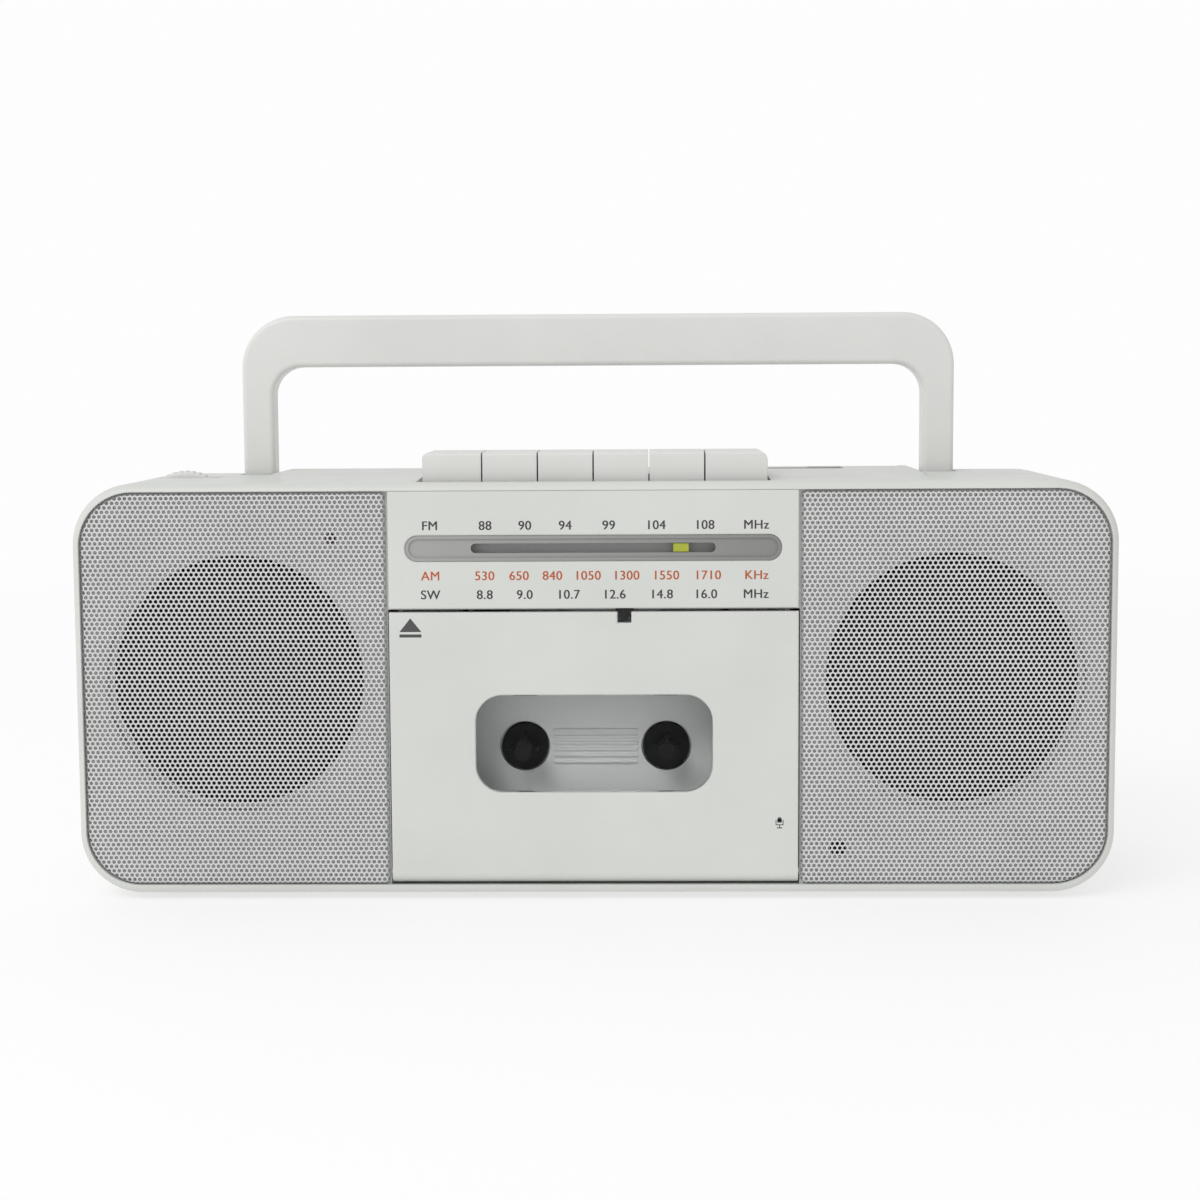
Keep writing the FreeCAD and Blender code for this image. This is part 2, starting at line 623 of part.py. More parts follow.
def tuning_dial():
    """Scale panel, its stadium bezel with the pointer's slot, and the dark backing."""
    panel = new_body("dial_panel")
    top = D.case_top - D.rim - D.pin_clear
    back = FACE - D.pin_clear
    side = D.column_half - D.door_gap
    half = D.dial_height / 2
    curve = half - D.pin_clear
    gap = D.pin_clear
    pad(panel, "XZ", (FRONT, back), box_loop(-side, side, D.panel_bottom, top))
    pocket(panel, "XZ", (FRONT - PAST, back + PAST),
           box_loop(-D.dial_half - gap, D.dial_half + gap, D.dial_z - half - gap,
                    D.dial_z + half + gap, all_round(curve)))
    round_edges(panel, D.edge_round, lambda box: on_level(box, "Y", FRONT.value)
                and box.ZMin < top.value - TINY)
    bezel = new_body("dial_bezel")
    pad(bezel, "XZ", (FRONT + D.bezel_drop, back),
        box_loop(-D.dial_half, D.dial_half, D.dial_z - half, D.dial_z + half, all_round(curve)))
    step = D.bezel_step
    pocket(bezel, "XZ", (FRONT - PAST, FRONT + D.bezel_drop * 2),
           box_loop(-D.dial_half + step, D.dial_half - step, D.dial_z - half + step,
                    D.dial_z + half - step, all_round(curve - step)))
    slot = D.slot_height / 2
    pocket(bezel, "XZ", (FRONT - PAST, back + PAST),
           box_loop(-D.slot_half, D.slot_half, D.dial_z - slot, D.dial_z + slot,
                    all_round(slot - D.pin_clear)))
    rows = D.backing_height / 2
    block("dial_backing", (-D.backing_half - D.ledge, D.backing_half + D.ledge),
          (INNER + D.seam_gap, INNER + D.seam_gap + 1), (D.dial_z - rows, D.dial_z + rows))


def dial_pointer():
    """Pointer block in the slot, on a carrier that runs behind the bezel."""
    body = new_body("dial_pointer")
    half = D.pointer_width / 2
    tall = D.pointer_height / 2
    back = FACE + D.seam_gap
    pad(body, "XZ", (D.pointer_front, back),
        box_loop(D.pointer_x - half, D.pointer_x + half, D.dial_z - tall, D.dial_z + tall))
    pad(body, "XZ", (back, INNER - D.seam_gap),
        box_loop(D.pointer_x - half, D.pointer_x + half, D.dial_z - D.carrier_half,
                 D.dial_z + D.carrier_half))


# ---------------------------------------------------------------- cassette door and bay

def cassette_door():
    """Door panel with a window opening, a rolled lower edge and moulded trunnions."""
    body = new_body("cassette_door")
    side = D.column_half - D.door_gap
    axis_y = FRONT + D.hinge_round
    axis_z = D.door_bottom + D.hinge_round
    pad(body, "XZ", (FRONT, FRONT + D.panel_thick), box_loop(-side, side, axis_z, D.door_top))
    pocket(body, "XZ", (FRONT - PAST, FRONT + D.panel_thick + PAST),
           box_loop(-D.window_half, D.window_half, D.window_bottom, D.window_top,
                    all_round(D.window_round)))
    pocket(body, "XZ", (FRONT - PAST, FRONT + D.panel_thick + PAST),
           box_loop(D.notch_x - D.notch_half, D.notch_x + D.notch_half,
                    D.door_top - D.notch_depth, D.door_top + PAST))
    round_edges(body, D.edge_round, lambda box: on_level(box, "Y", FRONT.value)
                and box.ZMax > axis_z.value + TINY)
    pad(body, "YZ", (-side, side), circle_loop(axis_y, axis_z, D.hinge_round))
    reach = D.column_half + D.post_radius / 2 - D.door_gap
    pad(body, "YZ", (-reach, reach), circle_loop(axis_y, axis_z, D.hinge_pin))


def door_window():
    body = new_body("door_window")
    gap = D.lens_gap
    pad(body, "XZ", (D.lens_front, D.lens_front + D.lens_thick),
        box_loop(-D.window_half + gap, D.window_half - gap, D.window_bottom + gap,
                 D.window_top - gap, all_round(D.window_round - gap)))


def cassette_holder():
    """Carrier on the back of the door: two channels that take the cassette's ends."""
    body = new_body("cassette_holder")
    front = FRONT + D.panel_thick
    inner_front = front + D.holder_wall
    low = D.holder_bottom
    pad(body, "XZ", (front, D.holder_back), box_loop(-D.holder_half, D.holder_half, low,
                                                     D.holder_top))
    pocket(body, "XY", (low + D.holder_wall, D.holder_top + PAST),
           box_loop(-D.tape_half, D.tape_half, inner_front, D.holder_back - D.holder_wall))
    pocket(body, "XZ", (D.holder_back - D.holder_wall - PAST, D.holder_back + PAST),
           box_loop(-D.holder_lip, D.holder_lip, low - PAST, D.holder_top + PAST))
    pocket(body, "XZ", (front - PAST, inner_front + PAST),
           box_loop(-D.window_half - 1, D.window_half + 1, D.window_bottom - 1,
                    D.holder_top + PAST))


def door_latch():
    """Hook that shows in the door's top edge: a bar with a tapered tongue."""
    body = new_body("door_latch")
    clear = D.latch_lift
    tongue = D.door_top - D.notch_depth + D.door_gap
    points = [(D.notch_x - D.latch_tip, tongue), (D.notch_x + D.latch_tip, tongue),
              (D.notch_x + D.latch_half, D.door_top + clear),
              (D.notch_x + D.latch_bar_half, D.door_top + clear),
              (D.notch_x + D.latch_bar_half, D.panel_bottom - D.latch_clear),
              (D.notch_x - D.latch_bar_half, D.panel_bottom - D.latch_clear),
              (D.notch_x - D.latch_bar_half, D.door_top + clear),
              (D.notch_x - D.latch_half, D.door_top + clear)]
    front = FRONT + D.door_gap * 2
    back = FRONT + D.panel_thick - D.pin_clear
    pad(body, "XZ", (front, back), polygon_loop(points))
    pin_z = (D.door_top + clear + D.panel_bottom - D.latch_clear) / 2
    pin_reach = D.latch_bar_half + D.latch_pin
    pad(body, "YZ", (D.notch_x - pin_reach, D.notch_x + pin_reach),
        circle_loop((front + back) / 2, pin_z, D.latch_pin))


def cassette_well():
    """Open-fronted box behind the door, with hub holes and the opening for the heads."""
    body = new_body("cassette_well")
    front = INNER + D.seam_gap
    low = D.door_bottom + D.pin_clear
    pad(body, "XZ", (front, D.well_back), box_loop(-D.well_half, D.well_half, low, D.well_top))
    wall = D.well_wall
    pocket(body, "XZ", (front - PAST, D.well_back - D.well_plate),
           box_loop(-D.well_half + wall, D.well_half - wall, low + wall, D.well_top - wall))
    barrel_back = FRONT + D.hinge_round * 2 + D.seam_gap
    pocket(body, "XZ", (front - PAST, barrel_back),
           box_loop(-D.well_half - PAST, D.well_half + PAST, low - PAST,
                    low + D.hinge_round * 2 + D.seam_gap))
    for sign in (-1, 1):
        pocket(body, "XZ", (D.well_back - D.well_plate - PAST, D.well_back + PAST),
               circle_loop(D.hub_spacing / 2 * sign, D.hub_z, D.hub_hole))
    for index in range(DIMENSIONS["rib_count"]):
        middle = D.hub_z + D.rib_pitch * (index - (DIMENSIONS["rib_count"] - 1) / 2)
        pad(body, "XZ", (D.well_back - D.well_plate - D.rib_rise, D.well_back - D.well_plate / 2),
            box_loop(-D.rib_half, D.rib_half, middle - D.rib_rise / 2, middle + D.rib_rise / 2))
    reach = D.head_plate_half + D.ledge
    pocket(body, "XZ", (D.well_back - D.well_plate - PAST, D.well_back + PAST),
           box_loop(-reach, reach, D.capstan_z - D.capstan_room, D.well_top - wall))


def spindles():
    """Reel spindles: a flat disc, a splined nose for the cassette hub and a rear journal."""
    for name, sign in (("take_up", -1), ("supply", 1)):
        x = D.hub_spacing / 2 * sign
        body = new_body(f"{name}_spindle")
        pad(body, "XZ", (D.disc_front, D.well_back + D.seam_gap),
            circle_loop(x, D.hub_z, D.disc_radius))
        pad(body, "XZ", (D.spindle_tip, D.disc_front), circle_loop(x, D.hub_z, D.spindle_radius))
        half = D.spline_width / 2
        pad(body, "XZ", (D.spindle_tip + 2, D.disc_front),
            box_loop(x - half, x + half, D.hub_z - D.spindle_radius + 1,
                     D.hub_z + D.spline_reach))
        pad(body, "XZ", (D.spindle_tip + 2, D.disc_front),
            box_loop(x - D.spline_reach, x + D.spline_reach, D.hub_z - half, D.hub_z + half))
        pad(body, "XZ", (D.well_back + D.seam_gap, D.chassis_front + D.sheet_steel * 2),
            circle_loop(x, D.hub_z, D.bearing_radius))


def mechanism():
    """Steel chassis, flywheel bracket, motor, belt and the turning pieces of the tape drive."""
    back = D.chassis_front + D.sheet_steel
    chassis = new_body("mechanism_chassis")
    pad(chassis, "XZ", (D.chassis_front, back),
        box_loop(-D.chassis_half, D.chassis_half, D.chassis_bottom, D.chassis_top))
    holes = [circle_loop(D.hub_spacing / 2 * sign, D.hub_z, D.bearing_radius + D.bearing_clear)
             for sign in (-1, 1)]
    holes.append(circle_loop(D.capstan_x, D.capstan_z, D.capstan_radius + D.bearing_clear))
    pocket(chassis, "XZ", (D.chassis_front - PAST, back + PAST), *holes)
    bracket = new_body("flywheel_bracket")
    bracket_back = D.bracket_front + D.sheet_steel
    pad(bracket, "XZ", (D.bracket_front, bracket_back),
        box_loop(D.bracket_left, D.bracket_right, D.bracket_bottom, D.well_top))
    for x in (D.bracket_left, D.bracket_right - D.bracket_post):
        pad(bracket, "XZ", (D.well_back, D.bracket_front),
            box_loop(x, x + D.bracket_post, D.chassis_top + D.door_gap, D.well_top))
    pocket(bracket, "XZ", (D.bracket_front - PAST, bracket_back + PAST),
           circle_loop(D.capstan_x, D.capstan_z, D.capstan_radius + D.bearing_clear),
           circle_loop(D.motor_x, D.motor_z, D.motor_boss))
    fly_back = D.flywheel_front + D.flywheel_thick
    wheel = new_body("capstan_flywheel")
    pad(wheel, "XZ", (D.flywheel_front, fly_back),
        circle_loop(D.capstan_x, D.capstan_z, D.flywheel_radius))
    pad(wheel, "XZ", (D.head_front, D.flywheel_front),
        circle_loop(D.capstan_x, D.capstan_z, D.capstan_radius))
    pad(wheel, "XZ", (fly_back, bracket_back + D.sheet_steel),
        circle_loop(D.capstan_x, D.capstan_z, D.capstan_radius))
    motor = new_body("drive_motor")
    pad(motor, "XZ", (bracket_back, bracket_back + D.motor_length),
        circle_loop(D.motor_x, D.motor_z, D.motor_radius))
    pocket(motor, "XZ", (bracket_back - PAST, bracket_back + D.motor_length / 2),
           circle_loop(D.motor_x, D.motor_z, D.shaft_radius + D.bearing_clear))
    pulley = new_body("motor_pulley")
    pad(pulley, "XZ", (D.flywheel_front, fly_back),
        circle_loop(D.motor_x, D.motor_z, D.pulley_radius))
    pad(pulley, "XZ", (fly_back, bracket_back + D.motor_length / 2 - D.sheet_steel),
        circle_loop(D.motor_x, D.motor_z, D.shaft_radius))


def drive_belt():
    """Belt round the flywheel and the motor pulley, a closed loop of constant section."""
    gap = D.bearing_clear.value
    far = D.flywheel_radius.value + gap
    near = D.pulley_radius.value + gap
    big = FreeCAD.Vector(D.capstan_x.value, 0, D.capstan_z.value)
    small = FreeCAD.Vector(D.motor_x.value, 0, D.motor_z.value)

    def loop_face(extra):
        discs = []
        for centre, radius in ((big, far + extra), (small, near + extra)):
            circle = Part.makeCircle(radius, centre, FreeCAD.Vector(0, 1, 0))
            discs.append(Part.Face(Part.Wire(circle)))
        return belt_face(big, far + extra, small, near + extra, discs)

    ring = loop_face(D.belt_thick.value).cut(loop_face(0))
    solid = ring.Faces[0].extrude(FreeCAD.Vector(0, D.belt_width.value, 0))
    item = doc.addObject("Part::Feature", "drive_belt")
    item.Label = "drive_belt"
    item.Shape = solid
    middle = D.flywheel_front.value + D.flywheel_thick.value / 2 - D.belt_width.value / 2
    item.Placement = FreeCAD.Placement(FreeCAD.Vector(0, middle, 0), FreeCAD.Rotation())
    sub_parts.append(item)


def belt_face(big, far, small, near, discs):
    """The area inside a belt round two discs: both discs and the strip between tangents."""
    axis = small - big
    span = axis.Length
    along = axis.normalize()
    side = along.cross(FreeCAD.Vector(0, 1, 0))
    lean = (far - near) / span
    spread = (1 - lean * lean) ** 0.5
    up = along * lean + side * spread
    down = along * lean - side * spread
    corners = [big + up * far, small + up * near, small + down * near, big + down * far]
    strip = Part.Face(Part.makePolygon(corners + corners[:1]))
    area = discs[0].fuse([discs[1], strip]).removeSplitter()
    return Part.Face(area.Faces[0].OuterWire)


def head_plate():
    """Sliding plate with the record and play head, the erase head and the roller's bracket."""
    body = new_body("head_plate")
    back = D.head_plate_front + D.sheet_steel
    low = D.head_bottom + D.head_travel / 2
    pad(body, "XZ", (D.head_plate_front, back),
        box_loop(-D.head_plate_half, D.head_plate_half, low, D.head_plate_top))
    top = D.head_plate_top - 2
    half = D.head_half
    pad(body, "XZ", (D.head_front, D.head_plate_front),
        box_loop(-half, half, D.head_bottom, top))
    pad(body, "XZ", (D.head_front, D.head_plate_front),
        box_loop(half * 2, half * 3, D.head_bottom, top))
    pad(body, "XZ", (D.head_front, D.head_plate_front),
        circle_loop(D.capstan_x, roller_z(), D.bearing_radius))


def roller_z():
    """Height of the pinch roller's axis with the heads drawn back."""
    return (D.capstan_z + D.capstan_radius + D.roller_radius + D.roller_clear + D.head_travel)


def pinch_roller():
    body = new_body("pinch_roller")
    pad(body, "XZ", (D.head_front + D.roller_inset, D.well_back - D.well_plate - D.capstan_room),
        circle_loop(D.capstan_x, roller_z(), D.roller_radius),
        circle_loop(D.capstan_x, roller_z(), D.bearing_radius + D.bearing_clear))


# ---------------------------------------------------------------- keys

KEY_NAMES = ("pause", "stop_eject", "fast_forward", "rewind", "play", "record")


def keys():
    """Six piano keys that rock about one shaft behind them."""
    pivot_y = D.key_pivot_y
    pivot_z = D.key_pivot_z
    start = D.bank_x - D.key_pitch * D.key_count / 2
    for index, name in enumerate(KEY_NAMES):
        left = start + D.key_pitch * index + D.key_gap / 2
        right = start + D.key_pitch * (index + 1) - D.key_gap / 2
        first = index == 0
        last = index == len(KEY_NAMES) - 1
        left = left - D.first_extra if first else left
        right = right + D.last_extra if last else right
        body = new_body(f"{name}_key")
        bevel = D.key_bevel
        cap = [(D.key_front, D.key_bottom), (D.key_back, D.key_bottom),
               (D.key_back, D.key_top), (D.key_front + bevel, D.key_top),
               (D.key_front, D.key_top - bevel)]
        pad(body, "YZ", (left, right), polygon_loop(cap))
        if first or last:
            outer = left.value if first else right.value
            rounding = D.first_round if first else D.last_round
            round_edges(body, rounding, lambda box, edge=outer: on_level(box, "X", edge)
                        and on_level(box, "Z", D.key_top.value))
        middle = (left + right) / 2
        arm = (middle - D.key_arm_half, middle + D.key_arm_half)
        pad(body, "YZ", arm, box_loop(D.key_arm_end, pivot_y, pivot_z - D.key_shaft_radius,
                                      D.key_bottom + D.arm_lap))
        pad(body, "YZ", arm, circle_loop(pivot_y, pivot_z, D.key_hub_radius))
        pocket(body, "YZ", (left - PAST, right + PAST),
               circle_loop(pivot_y, pivot_z, D.key_shaft_radius + D.bearing_clear))
    reach = D.key_pitch * D.key_count / 2 + D.last_extra + D.key_shaft_radius
    rod("key_shaft", "X", (D.bank_x - reach, pivot_y, pivot_z), D.key_shaft_radius, reach * 2)


# ---------------------------------------------------------------- handle

def carrying_handle():
    """U-shaped handle with rounded edges, hung on a pin at the foot of each leg."""
    body = new_body("carrying_handle")
    deep = (D.handle_front, D.handle_front + D.handle_depth)
    foot = D.handle_pivot_z - D.handle_depth / 2
    inside = D.handle_half - D.leg_width
    under_bar = D.handle_top - D.bar_height
    outer = D.handle_outer
    inner = D.handle_inner
    pad(body, "XZ", deep, box_loop(-D.handle_half, D.handle_half, foot, D.handle_top,
                                   (0, 0, outer, outer)))
    pocket(body, "XZ", (deep[0] - PAST, deep[1] + PAST),
           box_loop(-inside, inside, foot - PAST, under_bar, (0, 0, inner, inner)))
    round_edges(body, D.handle_depth / 2 - D.bearing_clear,
                lambda box: on_level(box, "Z", foot.value) and box.XLength > box.YLength)
    round_edges(body, D.handle_edge,
                lambda box: (on_level(box, "Y", deep[0].value) or on_level(box, "Y", deep[1].value))
                and box.ZMax > foot.value + D.handle_depth.value)
    pocket(body, "YZ", (-D.handle_half - PAST, D.handle_half + PAST),
           circle_loop(deep[0] + D.handle_depth / 2, D.handle_pivot_z,
                       D.handle_pin + D.bearing_clear))
    pins = []
    for name, sign in SIDES:
        near, far = sided(sign, inside - D.leg_clear - D.lining / 2,
                          D.handle_half + D.leg_clear + D.lining / 2)
        pins.append(rod(f"{name}_handle_pin", "X",
                        (near, deep[0] + D.handle_depth / 2, D.handle_pivot_z),
                        D.handle_pin, far - near, listed=False))
    group("handle_pins", pins)


# ---------------------------------------------------------------- controls on top

def volume_control():
    """Edge-on thumbwheel with its shaft, and the potentiometer that carries it."""
    wheel = new_body("volume_wheel")
    back = D.wheel_front + D.wheel_thick
    pad(wheel, "XZ", (D.wheel_front, back), circle_loop(D.wheel_x, D.wheel_z, D.wheel_radius))
    pad(wheel, "XZ", (back, back + D.pot_depth), circle_loop(D.wheel_x, D.wheel_z,
                                                             D.control_shaft))
    pot = new_body("volume_potentiometer")
    front = back + D.seam_gap
    half = D.pot_half
    pad(pot, "XZ", (front, front + D.pot_depth + 1),
        box_loop(D.wheel_x - half, D.wheel_x + half, D.wheel_z - half, D.wheel_z + half))
    pocket(pot, "XZ", (front - PAST, front + D.pot_depth),
           circle_loop(D.wheel_x, D.wheel_z, D.control_shaft + D.bearing_clear))


def slide_switches():
    """Function and band switches: dark slot plates, metal bodies and ribbed slider knobs."""
    plates = []
    bodies = []
    for name, middle, rest in (("function", D.function_x, D.function_rest), ("band", D.band_x, 0)):
        plate = new_body(f"{name}_plate")
        sub_parts.remove(plate)
        gap = D.pin_clear
        deep = D.plate_depth / 2 - gap
        pad(plate, "XY", (DECK - D.plate_thick, DECK - gap),
            box_loop(middle - D.plate_half + gap, middle + D.plate_half - gap,
                     D.switch_y - deep, D.switch_y + deep))
        half = D.switch_slot / 2
        pocket(plate, "XY", (DECK - D.plate_thick * 3, DECK + PAST),
               box_loop(middle - D.switch_slot_half, middle + D.switch_slot_half,
                        D.switch_y - half, D.switch_y + half))
        plates.append(plate)
        top = D.case_top - D.wall - 1
        bodies.append(block(f"{name}_body",
                            (middle - D.switch_body_half - 2, middle + D.switch_body_half + 2),
                            (D.switch_y - D.switch_knob_depth, D.switch_y + D.switch_knob_depth),
                            (top - D.switch_body_height, top), listed=False))
        knob = new_body(f"{name}_knob")
        centre = middle + rest
        deep = D.switch_knob_depth / 2
        pad(knob, "XY", (DECK + gap, DECK + D.switch_knob_rise),
            box_loop(centre - D.knob_half, centre + D.knob_half, D.switch_y - deep,
                     D.switch_y + deep, all_round(D.key_bevel)))
        stem = half - gap
        pad(knob, "XY", (top + gap, DECK + gap),
            box_loop(centre - D.knob_half / 2, centre + D.knob_half / 2,
                     D.switch_y - stem, D.switch_y + stem))
    group("switch_plates", plates)
    group("switch_bodies", bodies)


def tuning_drive():
    """Side tuning knob with its shaft and cord pulley, the cord drum and the capacitor."""
    knob = new_body("tuning_knob")
    floor = HALF - D.dish_depth + D.knob_proud * 3
    pad(knob, "YZ", (floor, HALF), circle_loop(D.tuning_y, D.tuning_z, D.tuning_radius))
    pad(knob, "YZ", (D.tuning_shaft_end, floor), circle_loop(D.tuning_y, D.tuning_z,
                                                             D.control_shaft))
    pad(knob, "YZ", (D.tuning_shaft_end, D.tuning_shaft_end + D.cord_pulley_width),
        circle_loop(D.tuning_y, D.tuning_z, D.cord_pulley))
    back = D.drum_front + D.drum_thick
    drum = new_body("tuning_drum")
    pad(drum, "XZ", (D.drum_front, back), circle_loop(D.drum_x, D.drum_z, D.drum_radius))
    pad(drum, "XZ", (back, back + D.drum_thick), circle_loop(D.drum_x, D.drum_z,
                                                             D.control_shaft))
    capacitor = new_body("tuning_capacitor")
    half = D.capacitor_half
    pad(capacitor, "XZ", (back + D.seam_gap, D.board_front),
        box_loop(D.drum_x - half, D.drum_x + half, D.drum_z - half, D.drum_z + half))
    pocket(capacitor, "XZ", (back - PAST, D.board_front - PAST),
           circle_loop(D.drum_x, D.drum_z, D.control_shaft + D.bearing_clear))


# ---------------------------------------------------------------- telescopic aerial

def aerial():
    """Aerial folded into its groove: a swivelling knuckle and three tubes, one in another."""
    knuckle = new_body("aerial_knuckle")
    x = D.aerial_pivot_x
    radius = D.aerial_radius
    pad(knuckle, "XZ", (D.aerial_y - radius, D.aerial_y + radius),
        circle_loop(x, D.aerial_z, radius))
    pad(knuckle, "XZ", (D.groove_front - D.wall, D.aerial_y - radius),
        circle_loop(x, D.aerial_z, D.bearing_radius))
    start = x - radius - D.seam_gap
    outer = radius
    bore = outer
    names = ("aerial_outer_tube", "aerial_middle_tube", "aerial_inner_rod")
    stop = D.aerial_end
    for index, name in enumerate(names):
        tube = new_body(name)
        hollow = index < len(names) - 1
        bore = outer - D.aerial_step + D.aerial_clear
        loops = [circle_loop(D.aerial_y, D.aerial_z, outer)]
        if hollow:
            loops.append(circle_loop(D.aerial_y, D.aerial_z, bore))
        pad(tube, "YZ", (stop, start), *loops)
        if not hollow:
            pad(tube, "YZ", (stop - D.aerial_tip, stop), circle_loop(D.aerial_y, D.aerial_z,
                                                                     radius))
        outer = bore - D.aerial_clear
        start = start - D.aerial_tip
        stop = stop - D.sheet


# ---------------------------------------------------------------- power and sockets

def power():
    """Battery tray and its contacts, the cover, the mains inlet and the transformer."""
    tray = new_body("battery_tray")
    wall = D.tray_wall
    back = BACK - D.wall - D.pin_clear
    pad(tray, "XZ", (D.tray_front, back),
        box_loop(-D.tray_half, D.tray_half, D.tray_bottom, D.tray_top))
    pocket(tray, "XZ", (D.tray_front + wall, back + PAST),
           box_loop(-D.tray_half + wall, D.tray_half - wall, D.tray_bottom + wall,
                    D.tray_top - wall))
    cover = new_body("battery_cover")
    lip = D.cover_thick / 2
    pad(cover, "XZ", (BACK - D.cover_thick + D.pin_clear, BACK),
        box_loop(-D.cover_half, D.cover_half, D.cover_bottom, D.cover_top))
    round_edges(cover, lip - D.pin_clear, lambda box: on_level(box, "Z", D.cover_bottom.value)
                and box.XLength > box.YLength)
    for index in range(DIMENSIONS["grip_count"]):
        middle = D.grip_pitch * (index - (DIMENSIONS["grip_count"] - 1) / 2)
        pocket(cover, "XZ", (BACK - D.grip_depth, BACK + PAST),
               box_loop(middle - D.grip_depth, middle + D.grip_depth,
                        D.cover_top - D.grip_length, D.cover_top - D.grip_depth * 3))
    springs = []
    middle_y = (D.tray_front + back) / 2
    middle_z = (D.tray_bottom + D.tray_top) / 2
    for name, sign in SIDES:
        near, far = sided(sign, D.tray_half - wall - D.spring_wire, D.tray_half - wall)
        springs.append(rod(f"{name}_contact", "X", (near, middle_y, middle_z),
                           D.cell_radius / 2, far - near, listed=False))
    group("battery_contacts", springs)
    inlet = new_body("mains_inlet")
    half = D.inlet_half - D.pin_clear
    tall = D.inlet_height / 2 - D.pin_clear
    pad(inlet, "XZ", (BACK - D.inlet_depth, BACK - D.pin_clear),
        box_loop(D.inlet_x - half, D.inlet_x + half, D.inlet_z - tall, D.inlet_z + tall))
    pocket(inlet, "XZ", (BACK - D.inlet_depth + D.inlet_floor, BACK + PAST),
           box_loop(D.inlet_x - D.socket_half, D.inlet_x + D.socket_half,
                    D.inlet_z - D.socket_height / 2, D.inlet_z + D.socket_height / 2,
                    all_round(D.socket_height / 2 - D.pin_clear)))
    for sign in (-1, 1):
        pad(inlet, "XZ", (BACK - D.inlet_depth + D.inlet_floor / 2, BACK - D.contact_below),
            circle_loop(D.inlet_x + D.contact_spread * sign, D.inlet_z, D.contact_radius))
    half = D.transformer_half
    tall = D.transformer_height / 2
    block("power_transformer", (D.transformer_x - half, D.transformer_x + half),
          (D.tray_front, BACK - D.wall * 2), (D.transformer_z - tall, D.transformer_z + tall))
    jack = rod("jack_sleeve", "X", (-HALF, D.jack_y, D.jack_z), D.jack_radius - D.pin_clear,
               D.jack_length, listed=False)
    bore = rod("jack_hole", "X", (-HALF - PAST, D.jack_y, D.jack_z), D.jack_bore,
               D.jack_length + PAST * 2, listed=False)
    cut("earphone_jack", jack, bore)


def electronics():
    """Main board, ferrite rod, power lamp and microphone."""
    block("main_circuit_board", (-D.board_half, D.board_half),
          (D.board_front, D.board_front + D.board_thick), (D.board_bottom, D.board_top))
    rod("ferrite_rod", "X", (-D.speaker_x, D.board_front + D.ferrite_room,
                             D.board_bottom + D.ferrite_rise), D.ferrite_radius, D.speaker_x)
    lamp = new_body("power_lamp")
    pad(lamp, "XZ", (FACE - D.sheet / 2, INNER + 2), circle_loop(D.led_x, D.led_z, D.led_radius))
    microphone = new_body("microphone")
    pad(microphone, "XZ", (FACE - D.sheet / 2, FACE + D.mic_depth),
        circle_loop(D.mic_x, D.mic_z, D.mic_radius))


def fixings():
    """Rubber feet and case screws, each kind in one node."""
    feet = [rod(f"foot_{index}", "Z", (D.foot_x * across, D.foot_y * deep, 0), D.foot_radius,
                D.case_bottom, listed=False)
            for index, (across, deep) in enumerate(((-1, -1), (1, -1), (-1, 1), (1, 1)))]
    group("rubber_feet", feet)
    screws = []
    for index, (x, z) in enumerate(screw_places()):
        head = rod(f"head_{index}", "Y", (x, BACK - D.screw_head_depth, z), D.screw_head,
                   D.screw_head_depth - D.seam_gap, listed=False)
        shank = rod(f"shank_{index}", "Y", (x, -D.post_radius * 2, z),
                    D.screw_radius - D.pin_clear, BACK - D.screw_head_depth + D.post_radius * 2,
                    listed=False)
        screws.append(fuse(f"screw_{index}", [head, shank], listed=False))
    group("case_screws", screws)


def check_and_write():
    """Stop on anything failed, then write one STEP file for each sub-part."""
    doc.recompute()
    faults = []
    for item in doc.Objects:
        if "Invalid" in item.State or "Error" in item.State:
            faults.append(f"{item.Label}: {item.State}")
        if item.TypeId == "PartDesign::Pocket" and item.BaseFeature is not None:
            if item.Shape.Volume > item.BaseFeature.Shape.Volume - TINY:
                faults.append(f"{item.Label} cuts nothing")
    for item in sub_parts:
        if item.Shape.isNull() or not item.Shape.isValid():
            faults.append(f"{item.Label}: bad shape")
    if faults:
        raise SystemExit("\n".join(faults))
    os.makedirs("parts", exist_ok=True)
    for item in sub_parts:
        item.Shape.exportStep(f"parts/{item.Label}.step")
    print(f"{len(sub_parts)} sub-parts written")


front_cabinet()
rear_cabinet()
speaker_grilles()
speakers()
tuning_dial()
dial_pointer()
cassette_door()
door_window()
cassette_holder()
door_latch()
cassette_well()
spindles()
mechanism()
drive_belt()
head_plate()
pinch_roller()
keys()
carrying_handle()
volume_control()
slide_switches()
tuning_drive()
aerial()
power()
electronics()
fixings()
check_and_write()
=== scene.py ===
"""Looks of a portable radio cassette recorder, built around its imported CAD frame.

Everything is in metres, in the CAD frame: X to the right, Y to the back, Z up.
"""
import json
import math

import bmesh
import bpy
from mathutils import Matrix, Vector


